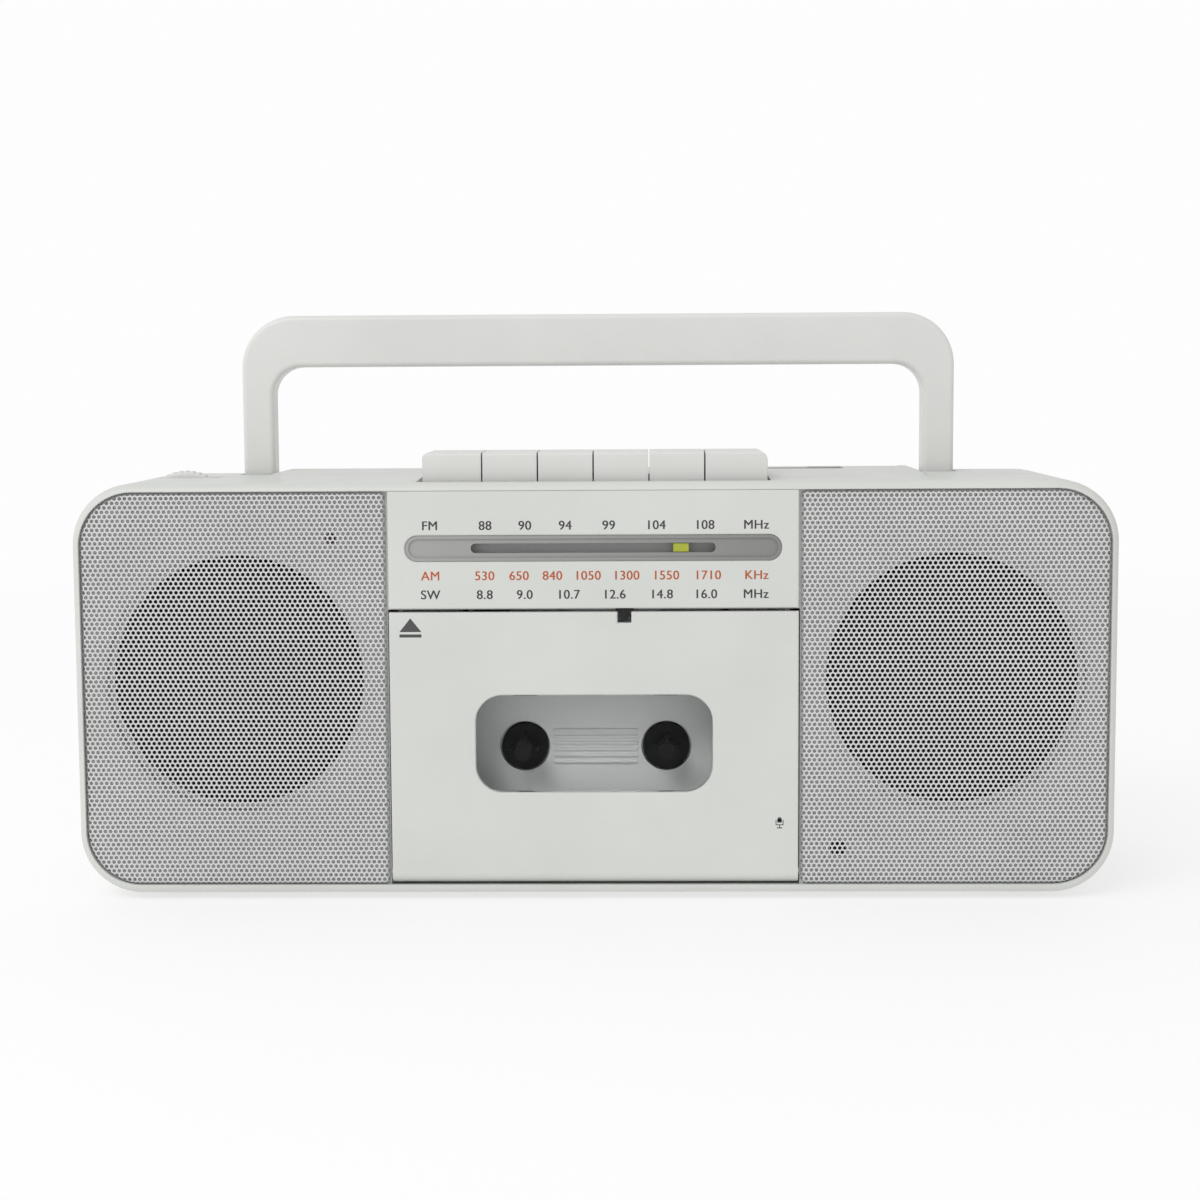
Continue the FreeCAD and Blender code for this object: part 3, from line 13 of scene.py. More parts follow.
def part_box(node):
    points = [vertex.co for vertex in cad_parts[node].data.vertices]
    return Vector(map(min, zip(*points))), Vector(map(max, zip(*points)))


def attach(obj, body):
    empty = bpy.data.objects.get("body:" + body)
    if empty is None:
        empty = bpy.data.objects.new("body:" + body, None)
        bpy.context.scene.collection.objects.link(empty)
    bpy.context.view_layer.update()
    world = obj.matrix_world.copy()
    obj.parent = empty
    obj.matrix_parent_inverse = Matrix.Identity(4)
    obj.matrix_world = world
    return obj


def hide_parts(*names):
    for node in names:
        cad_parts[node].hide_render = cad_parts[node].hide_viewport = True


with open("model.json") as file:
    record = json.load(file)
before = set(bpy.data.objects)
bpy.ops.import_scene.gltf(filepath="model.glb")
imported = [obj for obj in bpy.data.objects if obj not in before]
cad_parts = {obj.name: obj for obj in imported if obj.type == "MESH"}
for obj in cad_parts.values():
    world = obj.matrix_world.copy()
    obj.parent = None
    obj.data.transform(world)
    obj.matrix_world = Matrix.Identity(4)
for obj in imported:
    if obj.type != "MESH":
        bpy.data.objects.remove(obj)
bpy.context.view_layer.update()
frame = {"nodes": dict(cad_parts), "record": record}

MM = 0.001
FULL_TURN = 2 * math.pi

# The camera, a little above the case and almost square to it.
CAMERA_PLACE = (15.92 * MM, -675.84 * MM, 152.48 * MM)
CAMERA_YAW = 0.022
CAMERA_PITCH = 0.100
CAMERA_ROLL = -0.006
CAMERA_LENS = 66.0
CAMERA_SENSOR = 36.0
CAMERA_CLIP = 0.01

# The stage: how bright the surroundings look and how much light they give on either side,
# where the floor fades into them, and the soft lamp at the upper left.
BACKDROP_TONE = 0.985
WORLD_LEFT = 1.3
WORLD_RIGHT = 0.79
FLOOR_REACH = 12.0
FLOOR_FADE = (0.45, 1.3)
FLOOR_TONE = (0.42, 0.42, 0.42, 1.0)
FLOOR_GLOW = 0.56
LAMP_PLACE = (-0.8, -1.5, 1.5)
LAMP_AIM = (0.0, 0.0, 0.06)
LAMP_SIZE = (1.2, 0.8)
LAMP_POWER = 12.0
WHITE = (1.0, 1.0, 1.0, 1.0)

# Sockets of the colour Mix node.
MIX_FACTOR = 0
MIX_FIRST = 6
MIX_SECOND = 7
MIX_RESULT = 2

# Noise of every solid finish, as (scale, detail, roughness): slow drift, and smudges.
DRIFT = (28.0, 4.0, 0.6)
SMUDGES = (75.0, 5.0, 0.65)
COAT_ROUGHNESS = 0.2
BEVEL_SAMPLES = 4

# Meshes. A screw's head needs twice as many sides as its cross has corners, which is 12.
CREASE_ANGLE = math.radians(32)
CIRCLE_SIDES = 24

# The perforated sheet of the grilles: holes in staggered rows, and an edge rolled back.
# A corner inside the sheet is shared by three cells. Corners lie on a grid of half pitches
# and thirds of a row, and the keys that tell them apart are twice as fine.
HOLE_PITCH = 1.51 * MM
ROW_PITCH = HOLE_PITCH * math.sqrt(3) / 2
HOLE_RADIUS = 0.58 * MM
HOLE_SIDES = 8
HOLE_TWIST = 0.4
HOLE_DEPTH = 0.45 * MM
HOLE_MARGIN = 0.15 * MM
SMALLEST_CELL = HOLE_PITCH * 0.2
CELL_ANGLES = [math.radians(30 + 60 * step) for step in range(6)]
CORNER_SHARES = 3
KEYS_PER_PITCH = 4
KEYS_PER_ROW = 6
SHEET_ROLL = 1.35 * MM
SHEET_CORNER = 15.6 * MM
SHEET_INNER_CORNER = 1.6 * MM

# Print on the panels. Letters are made bold by three shifted coats of ink.
INK_THICKNESS = 0.02 * MM
CAP_HEIGHT = 2.7 * MM
FONT_SIZE = CAP_HEIGHT * 1.38
LETTER_SPACING = 1.06
BOLD_SHIFT = 0.07 * MM
COAT_STEP = 0.005 * MM

# The thumbwheel and the tuning knob. A tooth has its depth at each step round it.
TOOTH_STEPS = 6
TOOTH_SHAPE = (0.0, 0.0, 0.35, 1.0, 1.0, 0.35)
TOOTH_DEPTH = 0.45 * MM
VOLUME_TEETH = 44
KNOB_TEETH = 48
WHEEL_THICKNESS = 4.0 * MM
WHEEL_BEVEL = 0.6 * MM
SHAFT_RADIUS = 2.0 * MM
KNOB_THICKNESS = 4.5 * MM
CORD_PULLEY = 6.0 * MM
PULLEY_WIDTH = 4.0 * MM
KNOB_DISH = 0.72

# Case screws.
SCREW_RADIUS = 2.8 * MM
SCREW_SHANK = 1.44 * MM
SCREW_HEAD = 1.3 * MM
SCREW_EDGE = 0.35 * MM
SCREW_CROSS = 1.55 * MM
SCREW_CROSS_HALF = 0.36 * MM
SCREW_RECESS = 0.9 * MM

OWN_FINISH = {"carrying_handle": "handle_plastic", "cassette_well": "well_plastic",
              "dial_backing": "inner_plastic", "take_up_spindle": "spindle_black",
              "supply_spindle": "spindle_black"}
OWN_FINISH.update({node: "key_plastic" for node in frame["nodes"] if node.endswith("_key")})
SLOT_OF_NODE = {part["node"]: part["material_slot"] for part in frame["record"]["subparts"]}


# ---------------------------------------------------------------- materials

class Nodes:
    """A material's node tree, with short calls that add nodes and join them."""

    def __init__(self, name):
        self.material = bpy.data.materials.new(name)
        self.material.use_nodes = True
        self.tree = self.material.node_tree
        self.tree.nodes.clear()
        self.output = self.tree.nodes.new("ShaderNodeOutputMaterial")
        self.shader = self.tree.nodes.new("ShaderNodeBsdfPrincipled")
        self.join(self.shader.outputs[0], self.output.inputs["Surface"])
        self.place = self.add("ShaderNodeTexCoord").outputs["Object"]

    def join(self, source, target):
        self.tree.links.new(source, target)

    def feed(self, target, value):
        """Set a socket to a value, or link another socket to it."""
        if isinstance(value, bpy.types.NodeSocket):
            self.join(value, target)
        else:
            target.default_value = value

    def add(self, kind, inputs=None, **settings):
        node = self.tree.nodes.new(kind)
        for key, value in settings.items():
            setattr(node, key, value)
        for key, value in (inputs or {}).items():
            self.feed(node.inputs[key], value)
        return node

    def stretched(self, factors):
        """The object's coordinates, scaled differently along each axis."""
        return self.add("ShaderNodeMapping", {"Vector": self.place, "Scale": factors}).outputs[0]

    def noise(self, scale, detail=3.0, roughness=0.5, place=None):
        inputs = {"Vector": place or self.place, "Scale": scale, "Detail": detail,
                  "Roughness": roughness}
        return self.add("ShaderNodeTexNoise", inputs).outputs["Fac"]

    def cells(self, scale, place):
        inputs = {"Vector": place, "Scale": scale}
        return self.add("ShaderNodeTexVoronoi", inputs).outputs["Distance"]

    def spread(self, source, low, high, start=0.0, end=1.0):
        """Map a value from start..end to low..high."""
        inputs = {"Value": source, "From Min": start, "From Max": end, "To Min": low,
                  "To Max": high}
        return self.add("ShaderNodeMapRange", inputs).outputs[0]

    def calculate(self, operation, first, second):
        node = self.add("ShaderNodeMath", operation=operation)
        self.feed(node.inputs[0], first)
        self.feed(node.inputs[1], second)
        return node.outputs[0]

    def blend(self, factor, first, second, kind="MIX"):
        """Mix two colours by a factor."""
        node = self.add("ShaderNodeMix", data_type="RGBA", blend_type=kind)
        self.feed(node.inputs[MIX_FACTOR], factor)
        self.feed(node.inputs[MIX_FIRST], first)
        self.feed(node.inputs[MIX_SECOND], second)
        return node.outputs[MIX_RESULT]

    def edges(self, radius):
        """Rounded normals and a mask that is 1 along the edges."""
        bevel = self.add("ShaderNodeBevel", {"Radius": radius}, samples=BEVEL_SAMPLES)
        true_normal = self.add("ShaderNodeNewGeometry").outputs["Normal"]
        lean = self.add("ShaderNodeVectorMath", operation="DOT_PRODUCT")
        self.join(bevel.outputs[0], lean.inputs[0])
        self.join(true_normal, lean.inputs[1])
        return bevel.outputs[0], self.spread(lean.outputs["Value"], 1.0, 0.0, 0.75, 0.99)

    def bump(self, height, distance, normal=None):
        inputs = {"Height": height, "Distance": distance}
        if normal is not None:
            inputs["Normal"] = normal
        return self.add("ShaderNodeBump", inputs).outputs[0]


def rgb(colour, gain=1.0):
    return (*[min(channel * gain, 1.0) for channel in colour], 1.0)


def surface(name, colour, roughness, grain=0.3 * MM, depth=0.01 * MM, mottle=0.03, wear=0.25,
            worn_gain=1.12, edge=0.35 * MM, metallic=0.0, coat=0.0, stretch=None, swing=0.08):
    """Solid finish: fine grain, slow colour and roughness drift, and rubbed edges."""
    nodes = Nodes(name)
    place = nodes.stretched(stretch) if stretch else nodes.place
    fine = nodes.noise(1 / grain, 2.0, place=place)
    slow = nodes.noise(*DRIFT)
    smudge = nodes.noise(*SMUDGES, place=place)
    normal, rim = nodes.edges(edge)
    base = nodes.blend(nodes.spread(slow, 0.0, 1.0, 0.3, 0.7), rgb(colour, 1 - mottle),
                       rgb(colour, 1 + mottle))
    patchy_rim = nodes.calculate("MULTIPLY", rim, nodes.spread(smudge, 0.2, 1.0, 0.4, 0.65))
    rubbed = nodes.calculate("MULTIPLY", patchy_rim, wear)
    worn = nodes.blend(rubbed, base, rgb(colour, worn_gain))
    nodes.feed(nodes.shader.inputs["Base Color"], worn)
    uneven = nodes.spread(smudge, roughness - swing, roughness + swing, 0.3, 0.7)
    rough = nodes.calculate("SUBTRACT", uneven, nodes.calculate("MULTIPLY", rubbed, swing))
    nodes.feed(nodes.shader.inputs["Roughness"], rough)
    nodes.feed(nodes.shader.inputs["Normal"], nodes.bump(fine, depth, normal))
    nodes.shader.inputs["Metallic"].default_value = metallic
    nodes.shader.inputs["Coat Weight"].default_value = coat
    nodes.shader.inputs["Coat Roughness"].default_value = COAT_ROUGHNESS
    return nodes


def moulded_plastic(name, colour, roughness, gloss=0.45, **details):
    """Injection moulding: spark-eroded grain with a soft sheen."""
    nodes = surface(name, colour, roughness, **details)
    nodes.shader.inputs["Specular IOR Level"].default_value = gloss
    return nodes.material


def metal(name, colour, roughness, stretch, **details):
    """Bare metal with a grain drawn out along one axis."""
    return surface(name, colour, roughness, metallic=1.0, stretch=stretch, worn_gain=1.3,
                   **details).material


def clear_plastic():
    """Window moulding: clear, with faint hairline scratches, and open to lamps."""
    nodes = Nodes("clear_plastic")
    scratch = nodes.noise(900.0, 2.0, place=nodes.stretched((1.0, 1.0, 0.06)))
    shader = nodes.shader.inputs
    shader["Base Color"].default_value = (0.97, 0.98, 0.98, 1.0)
    shader["Transmission Weight"].default_value = 1.0
    shader["IOR"].default_value = 1.12
    shader["Specular IOR Level"].default_value = 0.04
    nodes.feed(shader["Roughness"], nodes.spread(scratch, 0.02, 0.07, 0.35, 0.7))
    nodes.feed(shader["Normal"], nodes.bump(scratch, 0.001 * MM))
    open_to_light = nodes.add("ShaderNodeBsdfTransparent")
    path = nodes.add("ShaderNodeLightPath")
    mix = nodes.add("ShaderNodeMixShader")
    nodes.join(path.outputs["Is Shadow Ray"], mix.inputs[0])
    nodes.join(nodes.shader.outputs[0], mix.inputs[1])
    nodes.join(open_to_light.outputs[0], mix.inputs[2])
    nodes.join(mix.outputs[0], nodes.output.inputs["Surface"])
    return nodes.material


def dial_plate(name, left, right):
    """Silver-grey lacquer on the scale's bezel, with painted shade: darker towards the right, in
    place of the brighter reflection on its left.
    """
    nodes = surface(name, left, 0.32, grain=0.08 * MM, depth=0.003 * MM, coat=0.15,
                    edge=0.2 * MM)
    painted = nodes.shader.inputs["Base Color"].links[0].from_socket
    # Painted shade: the lacquer's colour is multiplied down from left to right across the bezel.
    across = nodes.add("ShaderNodeSeparateXYZ", {"Vector": nodes.place}).outputs["X"]
    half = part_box("dial_bezel")[1].x
    fade = nodes.spread(across, 0.0, 1.0, -half, half)
    gain = [dark / light for dark, light in zip(right, left)]
    painted_shade_tint = nodes.blend(fade, WHITE, rgb(gain))
    nodes.feed(nodes.shader.inputs["Base Color"], nodes.blend(1.0, painted, painted_shade_tint, "MULTIPLY"))
    return nodes.material


def fibre_paper(name, colour):
    """Pressed paper pulp of a loudspeaker cone: short fibres at every angle."""
    nodes = Nodes(name)
    fibres = nodes.cells(1400.0, nodes.stretched((1.0, 0.35, 1.0)))
    pulp = nodes.noise(500.0, 6.0, 0.7)
    nodes.feed(nodes.shader.inputs["Base Color"],
               nodes.blend(nodes.spread(pulp, 0.0, 1.0, 0.35, 0.65), rgb(colour, 0.6),
                           rgb(colour, 1.7)))
    nodes.shader.inputs["Roughness"].default_value = 0.9
    relief = nodes.calculate("ADD", fibres, pulp)
    nodes.feed(nodes.shader.inputs["Normal"], nodes.bump(relief, 0.12 * MM))
    return nodes.material


def laminate(name, colour):
    """Paper-phenolic board: woven ply and darker resin streaks."""
    nodes = Nodes(name)
    ply = nodes.noise(260.0, 5.0, 0.6, nodes.stretched((1.0, 1.0, 0.12)))
    nodes.feed(nodes.shader.inputs["Base Color"],
               nodes.blend(nodes.spread(ply, 0.0, 1.0, 0.3, 0.7), rgb(colour, 0.7),
                           rgb(colour, 1.25)))
    nodes.feed(nodes.shader.inputs["Roughness"], nodes.spread(ply, 0.35, 0.6))
    nodes.feed(nodes.shader.inputs["Normal"], nodes.bump(ply, 0.05 * MM))
    return nodes.material


def make_materials():
    """One material for each finish, by the record's slot names and a few of their own."""
    return {
        "case_plastic": moulded_plastic("case_plastic", (0.615, 0.627, 0.60), 0.42, coat=0.08),
        "handle_plastic": moulded_plastic("handle_plastic", (0.685, 0.69, 0.668), 0.42,
                                          coat=0.08),
        "key_plastic": moulded_plastic("key_plastic", (0.67, 0.668, 0.65), 0.38, coat=0.1),
        "well_plastic": moulded_plastic("well_plastic", (0.64, 0.645, 0.635), 0.5),
        "grille_metal": surface("grille_metal", (0.60, 0.60, 0.605), 0.38, grain=0.12 * MM,
                                depth=0.004 * MM, edge=0.08 * MM, wear=0.3, coat=0.15).material,
        # The second colour is painted shade at the bezel's right end, not a second lacquer.
        "dial_plastic": dial_plate("dial_plastic", (0.34, 0.34, 0.33), (0.215, 0.218, 0.206)),
        "dark_plastic": moulded_plastic("dark_plastic", (0.012, 0.012, 0.013), 0.45, gloss=0.25,
                                        worn_gain=3.0),
        "spindle_black": moulded_plastic("spindle_black", (0.006, 0.006, 0.006), 0.6, gloss=0.08,
                                         worn_gain=6.0, edge=0.25 * MM),
        "pointer_plastic": moulded_plastic("pointer_plastic", (0.36, 0.40, 0.025), 0.35,
                                           coat=0.3),
        "clear_plastic": clear_plastic(),
        "inner_plastic": moulded_plastic("inner_plastic", (0.49, 0.495, 0.49), 0.5),
        "steel_sheet": metal("steel_sheet", (0.55, 0.56, 0.58), 0.36, (1.0, 1.0, 0.04),
                             grain=0.2 * MM, depth=0.006 * MM),
        "polished_steel": metal("polished_steel", (0.77, 0.77, 0.79), 0.13, (0.05, 1.0, 1.0),
                                grain=0.15 * MM, depth=0.002 * MM, swing=0.05),
        "magnet_ceramic": surface("magnet_ceramic", (0.06, 0.06, 0.062), 0.65, grain=0.4 * MM,
                                  depth=0.05 * MM, worn_gain=2.5).material,
        "cone_paper": fibre_paper("cone_paper", (0.02, 0.02, 0.021)),
        "black_rubber": surface("black_rubber", (0.022, 0.022, 0.022), 0.75, grain=0.5 * MM,
                                depth=0.05 * MM, worn_gain=2.2, swing=0.12).material,
        "board_laminate": laminate("board_laminate", (0.26, 0.15, 0.06)),
        "contact_brass": metal("contact_brass", (0.78, 0.6, 0.28), 0.3, (1.0, 1.0, 0.05)),
        "lamp_plastic": moulded_plastic("lamp_plastic", (0.06, 0.008, 0.007), 0.2, coat=0.4),
        "dark_ink": surface("dark_ink", (0.062, 0.062, 0.062), 0.5, grain=0.06 * MM,
                            depth=0.004 * MM, mottle=0.2).material,
        "orange_ink": surface("orange_ink", (0.60, 0.135, 0.035), 0.5, grain=0.06 * MM,
                              depth=0.004 * MM, mottle=0.12).material,
    }


# ---------------------------------------------------------------- mesh helpers

def add_object(name, data):
    added = bpy.data.objects.new(name, data)
    bpy.context.scene.collection.objects.link(added)
    return added


def make_piece(name, verts, faces, material):
    mesh = bpy.data.meshes.new(name)
    mesh.from_pydata(verts, [], faces)
    mesh.update()
    mesh.materials.append(material)
    return add_object(name, mesh)


def carry(piece, body, slot, *nodes):
    """Let a piece ride on a body and hide the nodes that it stands for."""
    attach(piece, body)
    if nodes:
        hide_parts(*nodes)


def rectangle(left, right, low, high):
    return [(left, low), (right, low), (right, high), (left, high)]


def circle(x, z, radius):
    angles = [FULL_TURN * step / CIRCLE_SIDES for step in range(CIRCLE_SIDES)]
    return [(x + radius * math.cos(angle), z + radius * math.sin(angle)) for angle in angles]


def smooth_by_angle(piece):
    """Shade a mesh smooth, with creases where faces meet at more than CREASE_ANGLE."""
    mesh = piece.data
    work = bmesh.new()
    work.from_mesh(mesh)
    for face in work.faces:
        face.smooth = True
    for edge in work.edges:
        sharp = len(edge.link_faces) != 2 or edge.calc_face_angle(0.0) > CREASE_ANGLE
        edge.smooth = not sharp
    work.to_mesh(mesh)
    work.free()


# ---------------------------------------------------------------- perforated grilles

def corner_distance(x, z, half_x, half_z, radius):
    """Signed distance and outward direction from a rectangle with rounded corners."""
    out_x = abs(x) - half_x + radius
    out_z = abs(z) - half_z + radius
    side_x = math.copysign(1.0, x)
    side_z = math.copysign(1.0, z)
    if out_x > 0 and out_z > 0:
        reach = math.hypot(out_x, out_z)
        return reach - radius, (side_x * out_x / reach, side_z * out_z / reach)
    if out_x > out_z:
        return out_x - radius, (side_x, 0.0)
    return out_z - radius, (0.0, side_z)


class SheetOutline:
    """The flat blank that a grille is pressed from, centred on the finished tray."""

    def __init__(self, low, high, outer_side):
        self.centre = ((low.x + high.x) / 2, (low.z + high.z) / 2)
        self.grow = (math.pi / 2 - 1) * SHEET_ROLL
        self.half_x = (high.x - low.x) / 2 + self.grow
        self.half_z = (high.z - low.z) / 2 + self.grow
        self.outer_side = outer_side

    def distance(self, x, z):
        """How far a point of the blank is inside its edge, and the way out."""
        local_x = x - self.centre[0]
        local_z = z - self.centre[1]
        corner = SHEET_CORNER if local_x * self.outer_side > 0 else SHEET_INNER_CORNER
        away, direction = corner_distance(local_x, local_z, self.half_x, self.half_z,
                                          corner + self.grow)
        return -away, direction

    def rolled(self, x, z):
        """Where a point of the blank goes once the edge is rolled back: x, z and depth."""
        inside, (way_x, way_z) = self.distance(x, z)
        turn = (SHEET_ROLL * math.pi / 2 - inside) / SHEET_ROLL
        if turn <= 0:
            return x, z, 0.0
        turn = min(turn, math.pi / 2)
        shift = (inside - self.grow) - SHEET_ROLL * (1 - math.sin(turn))
        return x + way_x * shift, z + way_z * shift, SHEET_ROLL * (1 - math.cos(turn))


def ring_joins(outer_angles, inner_angles):
    """Triangles between two rings of points, by the order of their angles."""
    joins = []
    outer = inner = 0
    outer_count = len(outer_angles)
    inner_count = len(inner_angles)
    while outer < outer_count or inner < inner_count:
        next_outer = outer_angles[outer] if outer < outer_count else math.inf
        next_inner = inner_angles[inner] if inner < inner_count else math.inf
        if next_outer <= next_inner:
            joins.append((("outer", outer - 1), ("outer", outer), ("inner", inner - 1)))
            outer += 1
        else:
            joins.append((("inner", inner), ("inner", inner - 1), ("outer", outer - 1)))
            inner += 1
    return joins


def lay_out_cells(outline):
    """Cells as (x, z, corner numbers, whether its hole is punched), and the corners' places."""
    corner_reach = HOLE_PITCH / math.sqrt(3)
    columns = int(outline.half_x / HOLE_PITCH) + 1
    rows = int(outline.half_z / ROW_PITCH) + 1
    corners = []
    number_of = {}
    uses = []
    cells = []
    for row in range(-rows, rows + 1):
        for column in range(-columns, columns + 1):
            x = outline.centre[0] + (column + 0.5 * (row % 2)) * HOLE_PITCH
            z = outline.centre[1] + row * ROW_PITCH
            inside, _ = outline.distance(x, z)
            if inside < SMALLEST_CELL:
                continue
            ring = []
            for angle in CELL_ANGLES:
                corner_x = x + corner_reach * math.cos(angle)
                corner_z = z + corner_reach * math.sin(angle)
                key = (round(corner_x / HOLE_PITCH * KEYS_PER_PITCH),
                       round(corner_z / ROW_PITCH * KEYS_PER_ROW))
                if key not in number_of:
                    number_of[key] = len(corners)
                    corners.append((corner_x, corner_z))
                    uses.append(0)
                uses[number_of[key]] += 1
                ring.append(number_of[key])
            cells.append((x, z, ring, inside > HOLE_RADIUS + HOLE_MARGIN))
    pull_to_edge(corners, uses, outline)
    return cells, corners


def pull_to_edge(corners, uses, outline):
    """Move the outermost corners onto the outline, so that the cells fill it."""
    for number, (x, z) in enumerate(corners):
        inside, (way_x, way_z) = outline.distance(x, z)
        if uses[number] < CORNER_SHARES or inside < 0:
            corners[number] = (x + way_x * inside, z + way_z * inside)


def perforated_sheet(name, node, outer_side, material):
    """A grille: six-sided cells with a punched hole in each, and an edge rolled back."""
    low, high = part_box(node)
    outline = SheetOutline(low, high, outer_side)
    hole_angles = [FULL_TURN * (step + HOLE_TWIST) / HOLE_SIDES for step in range(HOLE_SIDES)]
    joins = ring_joins(CELL_ANGLES, hole_angles)
    cells, corners = lay_out_cells(outline)

    def vertex(x, z):
        x, z, depth = outline.rolled(x, z)
        return x, low.y + depth, z

    verts = [vertex(x, z) for x, z in corners]
    faces = []
    for x, z, ring, punched in cells:
        if not punched:
            faces.append(ring)
            continue
        start = len(verts)
        rim = [vertex(x + HOLE_RADIUS * math.cos(angle), z + HOLE_RADIUS * math.sin(angle))
               for angle in hole_angles]
        verts += rim
        verts += [(rim_x, rim_y + HOLE_DEPTH, rim_z) for rim_x, rim_y, rim_z in rim]
        for join in joins:
            faces.append([ring[at] if kind == "outer" else start + at % HOLE_SIDES
                          for kind, at in join])
        for index in range(HOLE_SIDES):
            after = (index + 1) % HOLE_SIDES
            faces.append((start + index, start + after, start + HOLE_SIDES + after,
                          start + HOLE_SIDES + index))
    piece = make_piece(name, verts, faces, material)
    close_skirt(piece, high.y)
    carry(piece, "root", "grille_metal", node)


def close_skirt(piece, back):
    """Carry the sheet's rolled outer edge straight back to the baffle."""
    work = bmesh.new()
    work.from_mesh(piece.data)
    middle = sum(vert.co.y for vert in work.verts) / len(work.verts)
    outer = [edge for edge in work.edges if edge.is_boundary
             and min(vert.co.y for vert in edge.verts) > middle + SHEET_ROLL / 2
             and all(len(face.verts) != 4 for face in edge.link_faces)]
    made = bmesh.ops.extrude_edge_only(work, edges=outer)
    for item in made["geom"]:
        if isinstance(item, bmesh.types.BMVert):
            item.co.y = back
    work.to_mesh(piece.data)
    work.free()


# ---------------------------------------------------------------- knurled wheels

def turned_wheel(name, node, body, along, profile, teeth, material):
    """A wheel whose rim is cut into grip teeth: (distance, radius, tooth depth) rings.

    The rings run along one axis, X or Y, about the middle of the CAD node that the wheel
    stands for; along is the index of that axis.
    """
    low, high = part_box(node)
    middle = (low + high) / 2
    sides = teeth * TOOTH_STEPS
    verts = []
    for distance, radius, tooth in profile:
        for step in range(sides):
            angle = FULL_TURN * step / sides
            reach = radius - tooth * TOOTH_SHAPE[step % TOOTH_STEPS]
            across, up = reach * math.sin(angle), reach * math.cos(angle)
            verts.append((distance, middle.y + across, middle.z + up) if along == 0 else
                         (middle.x + across, distance, middle.z + up))
    faces = [tuple(range(sides)), tuple(range(len(verts) - sides, len(verts)))]
    for ring in range(len(profile) - 1):
        for step in range(sides):
            after = (step + 1) % sides
            near, far = ring * sides, (ring + 1) * sides
            faces.append((near + step, near + after, far + after, far + step))
    piece = make_piece(name, verts, faces, material)
    work = bmesh.new()
    work.from_mesh(piece.data)
    bmesh.ops.recalc_face_normals(work, faces=work.faces)
    work.to_mesh(piece.data)
    work.free()
    smooth_by_angle(piece)
    carry(piece, body, "case_plastic", node)


def knurled_wheels(materials):
    """Volume thumbwheel and side tuning knob, with grip teeth and bevelled faces."""
    low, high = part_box("volume_wheel")
    radius = (high.x - low.x) / 2
    back = low.y + WHEEL_THICKNESS
    bevel = WHEEL_BEVEL
    turned_wheel("volume_thumbwheel", "volume_wheel", "volume_wheel", 1, (
        (low.y, radius - 2 * bevel, 0.0), (low.y + bevel / 3, radius - bevel, 0.0),
        (low.y + bevel, radius, TOOTH_DEPTH), (back - bevel, radius, TOOTH_DEPTH),
        (back - bevel / 3, radius - bevel, 0.0), (back, SHAFT_RADIUS, 0.0),
        (high.y, SHAFT_RADIUS, 0.0)), VOLUME_TEETH, materials["key_plastic"])
    low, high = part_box("tuning_knob")
    radius = (high.z - low.z) / 2
    face = high.x
    inner = face - KNOB_THICKNESS
    turned_wheel("side_tuning_knob", "tuning_knob", "tuning_knob", 0, (
        (low.x, CORD_PULLEY, 0.0), (low.x + PULLEY_WIDTH, CORD_PULLEY, 0.0),
        (low.x + PULLEY_WIDTH, SHAFT_RADIUS, 0.0), (inner, SHAFT_RADIUS, 0.0),
        (inner, radius - bevel, 0.0), (inner + bevel, radius, TOOTH_DEPTH),
        (face - bevel, radius, TOOTH_DEPTH), (face - bevel / 3, radius - bevel, 0.0),
        (face, radius - 2 * bevel, 0.0), (face, radius * KNOB_DISH, 0.0),
        (face - bevel, radius * KNOB_DISH - bevel, 0.0)), KNOB_TEETH, materials["case_plastic"])


# ---------------------------------------------------------------- screws

def join_loops(work, near, far):
    """A band of four-sided faces between two loops of as many vertices."""
    for index in range(len(near)):
        work.faces.new((near[index - 1], near[index], far[index], far[index - 1]))


def cross_outline(reach, half):
    """Points of a plus sign, anticlockwise, as (x, z)."""
    quarter = [(reach, -half), (reach, half), (half, half)]
    points = []
    for turn in range(4):
        angle = turn * FULL_TURN / 4
        points += [(x * math.cos(angle) - z * math.sin(angle),
                    x * math.sin(angle) + z * math.cos(angle)) for x, z in quarter]
    return points


def add_screw(work, x, z, start, back):
    """One pan-head screw that points forward, with a cross recess in its head."""
    def loop(outline, level):
        return [work.verts.new((x + across, level, z + up)) for across, up in outline]

    def ring(radius, level):
        return loop(circle(0.0, 0.0, radius), level)

    rings = [ring(SCREW_SHANK, start), ring(SCREW_SHANK, back - SCREW_HEAD),
             ring(SCREW_RADIUS, back - SCREW_HEAD), ring(SCREW_RADIUS, back - SCREW_EDGE),
             ring(SCREW_RADIUS - SCREW_EDGE, back)]
    cross = cross_outline(SCREW_CROSS, SCREW_CROSS_HALF)
    mouth = loop(cross, back)
    floor = loop(cross, back - SCREW_RECESS)
    for near, far in zip(rings, rings[1:]):
        join_loops(work, near, far)
    join_loops(work, mouth, floor)
    # The head's rim has two points for each corner of the cross.
    rim = rings[-1]
    for index in range(len(mouth)):
        first = 2 * index - 3
        work.faces.new((rim[first], rim[first + 1], rim[first + 2], mouth[index],
                        mouth[index - 1]))
    work.faces.new(rings[0])
    work.faces.new(floor)


def case_screws(materials):
    """The four case screws, with cross recesses that the CAD solids leave out."""
    low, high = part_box("case_screws")
    work = bmesh.new()
    for x in (low.x + SCREW_RADIUS, high.x - SCREW_RADIUS):
        for z in (low.z + SCREW_RADIUS, high.z - SCREW_RADIUS):
            add_screw(work, x, z, low.y, high.y)
    bmesh.ops.recalc_face_normals(work, faces=work.faces)
    mesh = bpy.data.meshes.new("cross_recess_screws")
    work.to_mesh(mesh)
    work.free()
    mesh.materials.append(materials["polished_steel"])
    piece = add_object("cross_recess_screws", mesh)
    smooth_by_angle(piece)
    carry(piece, "root", "polished_steel", "case_screws")


# ---------------------------------------------------------------- print

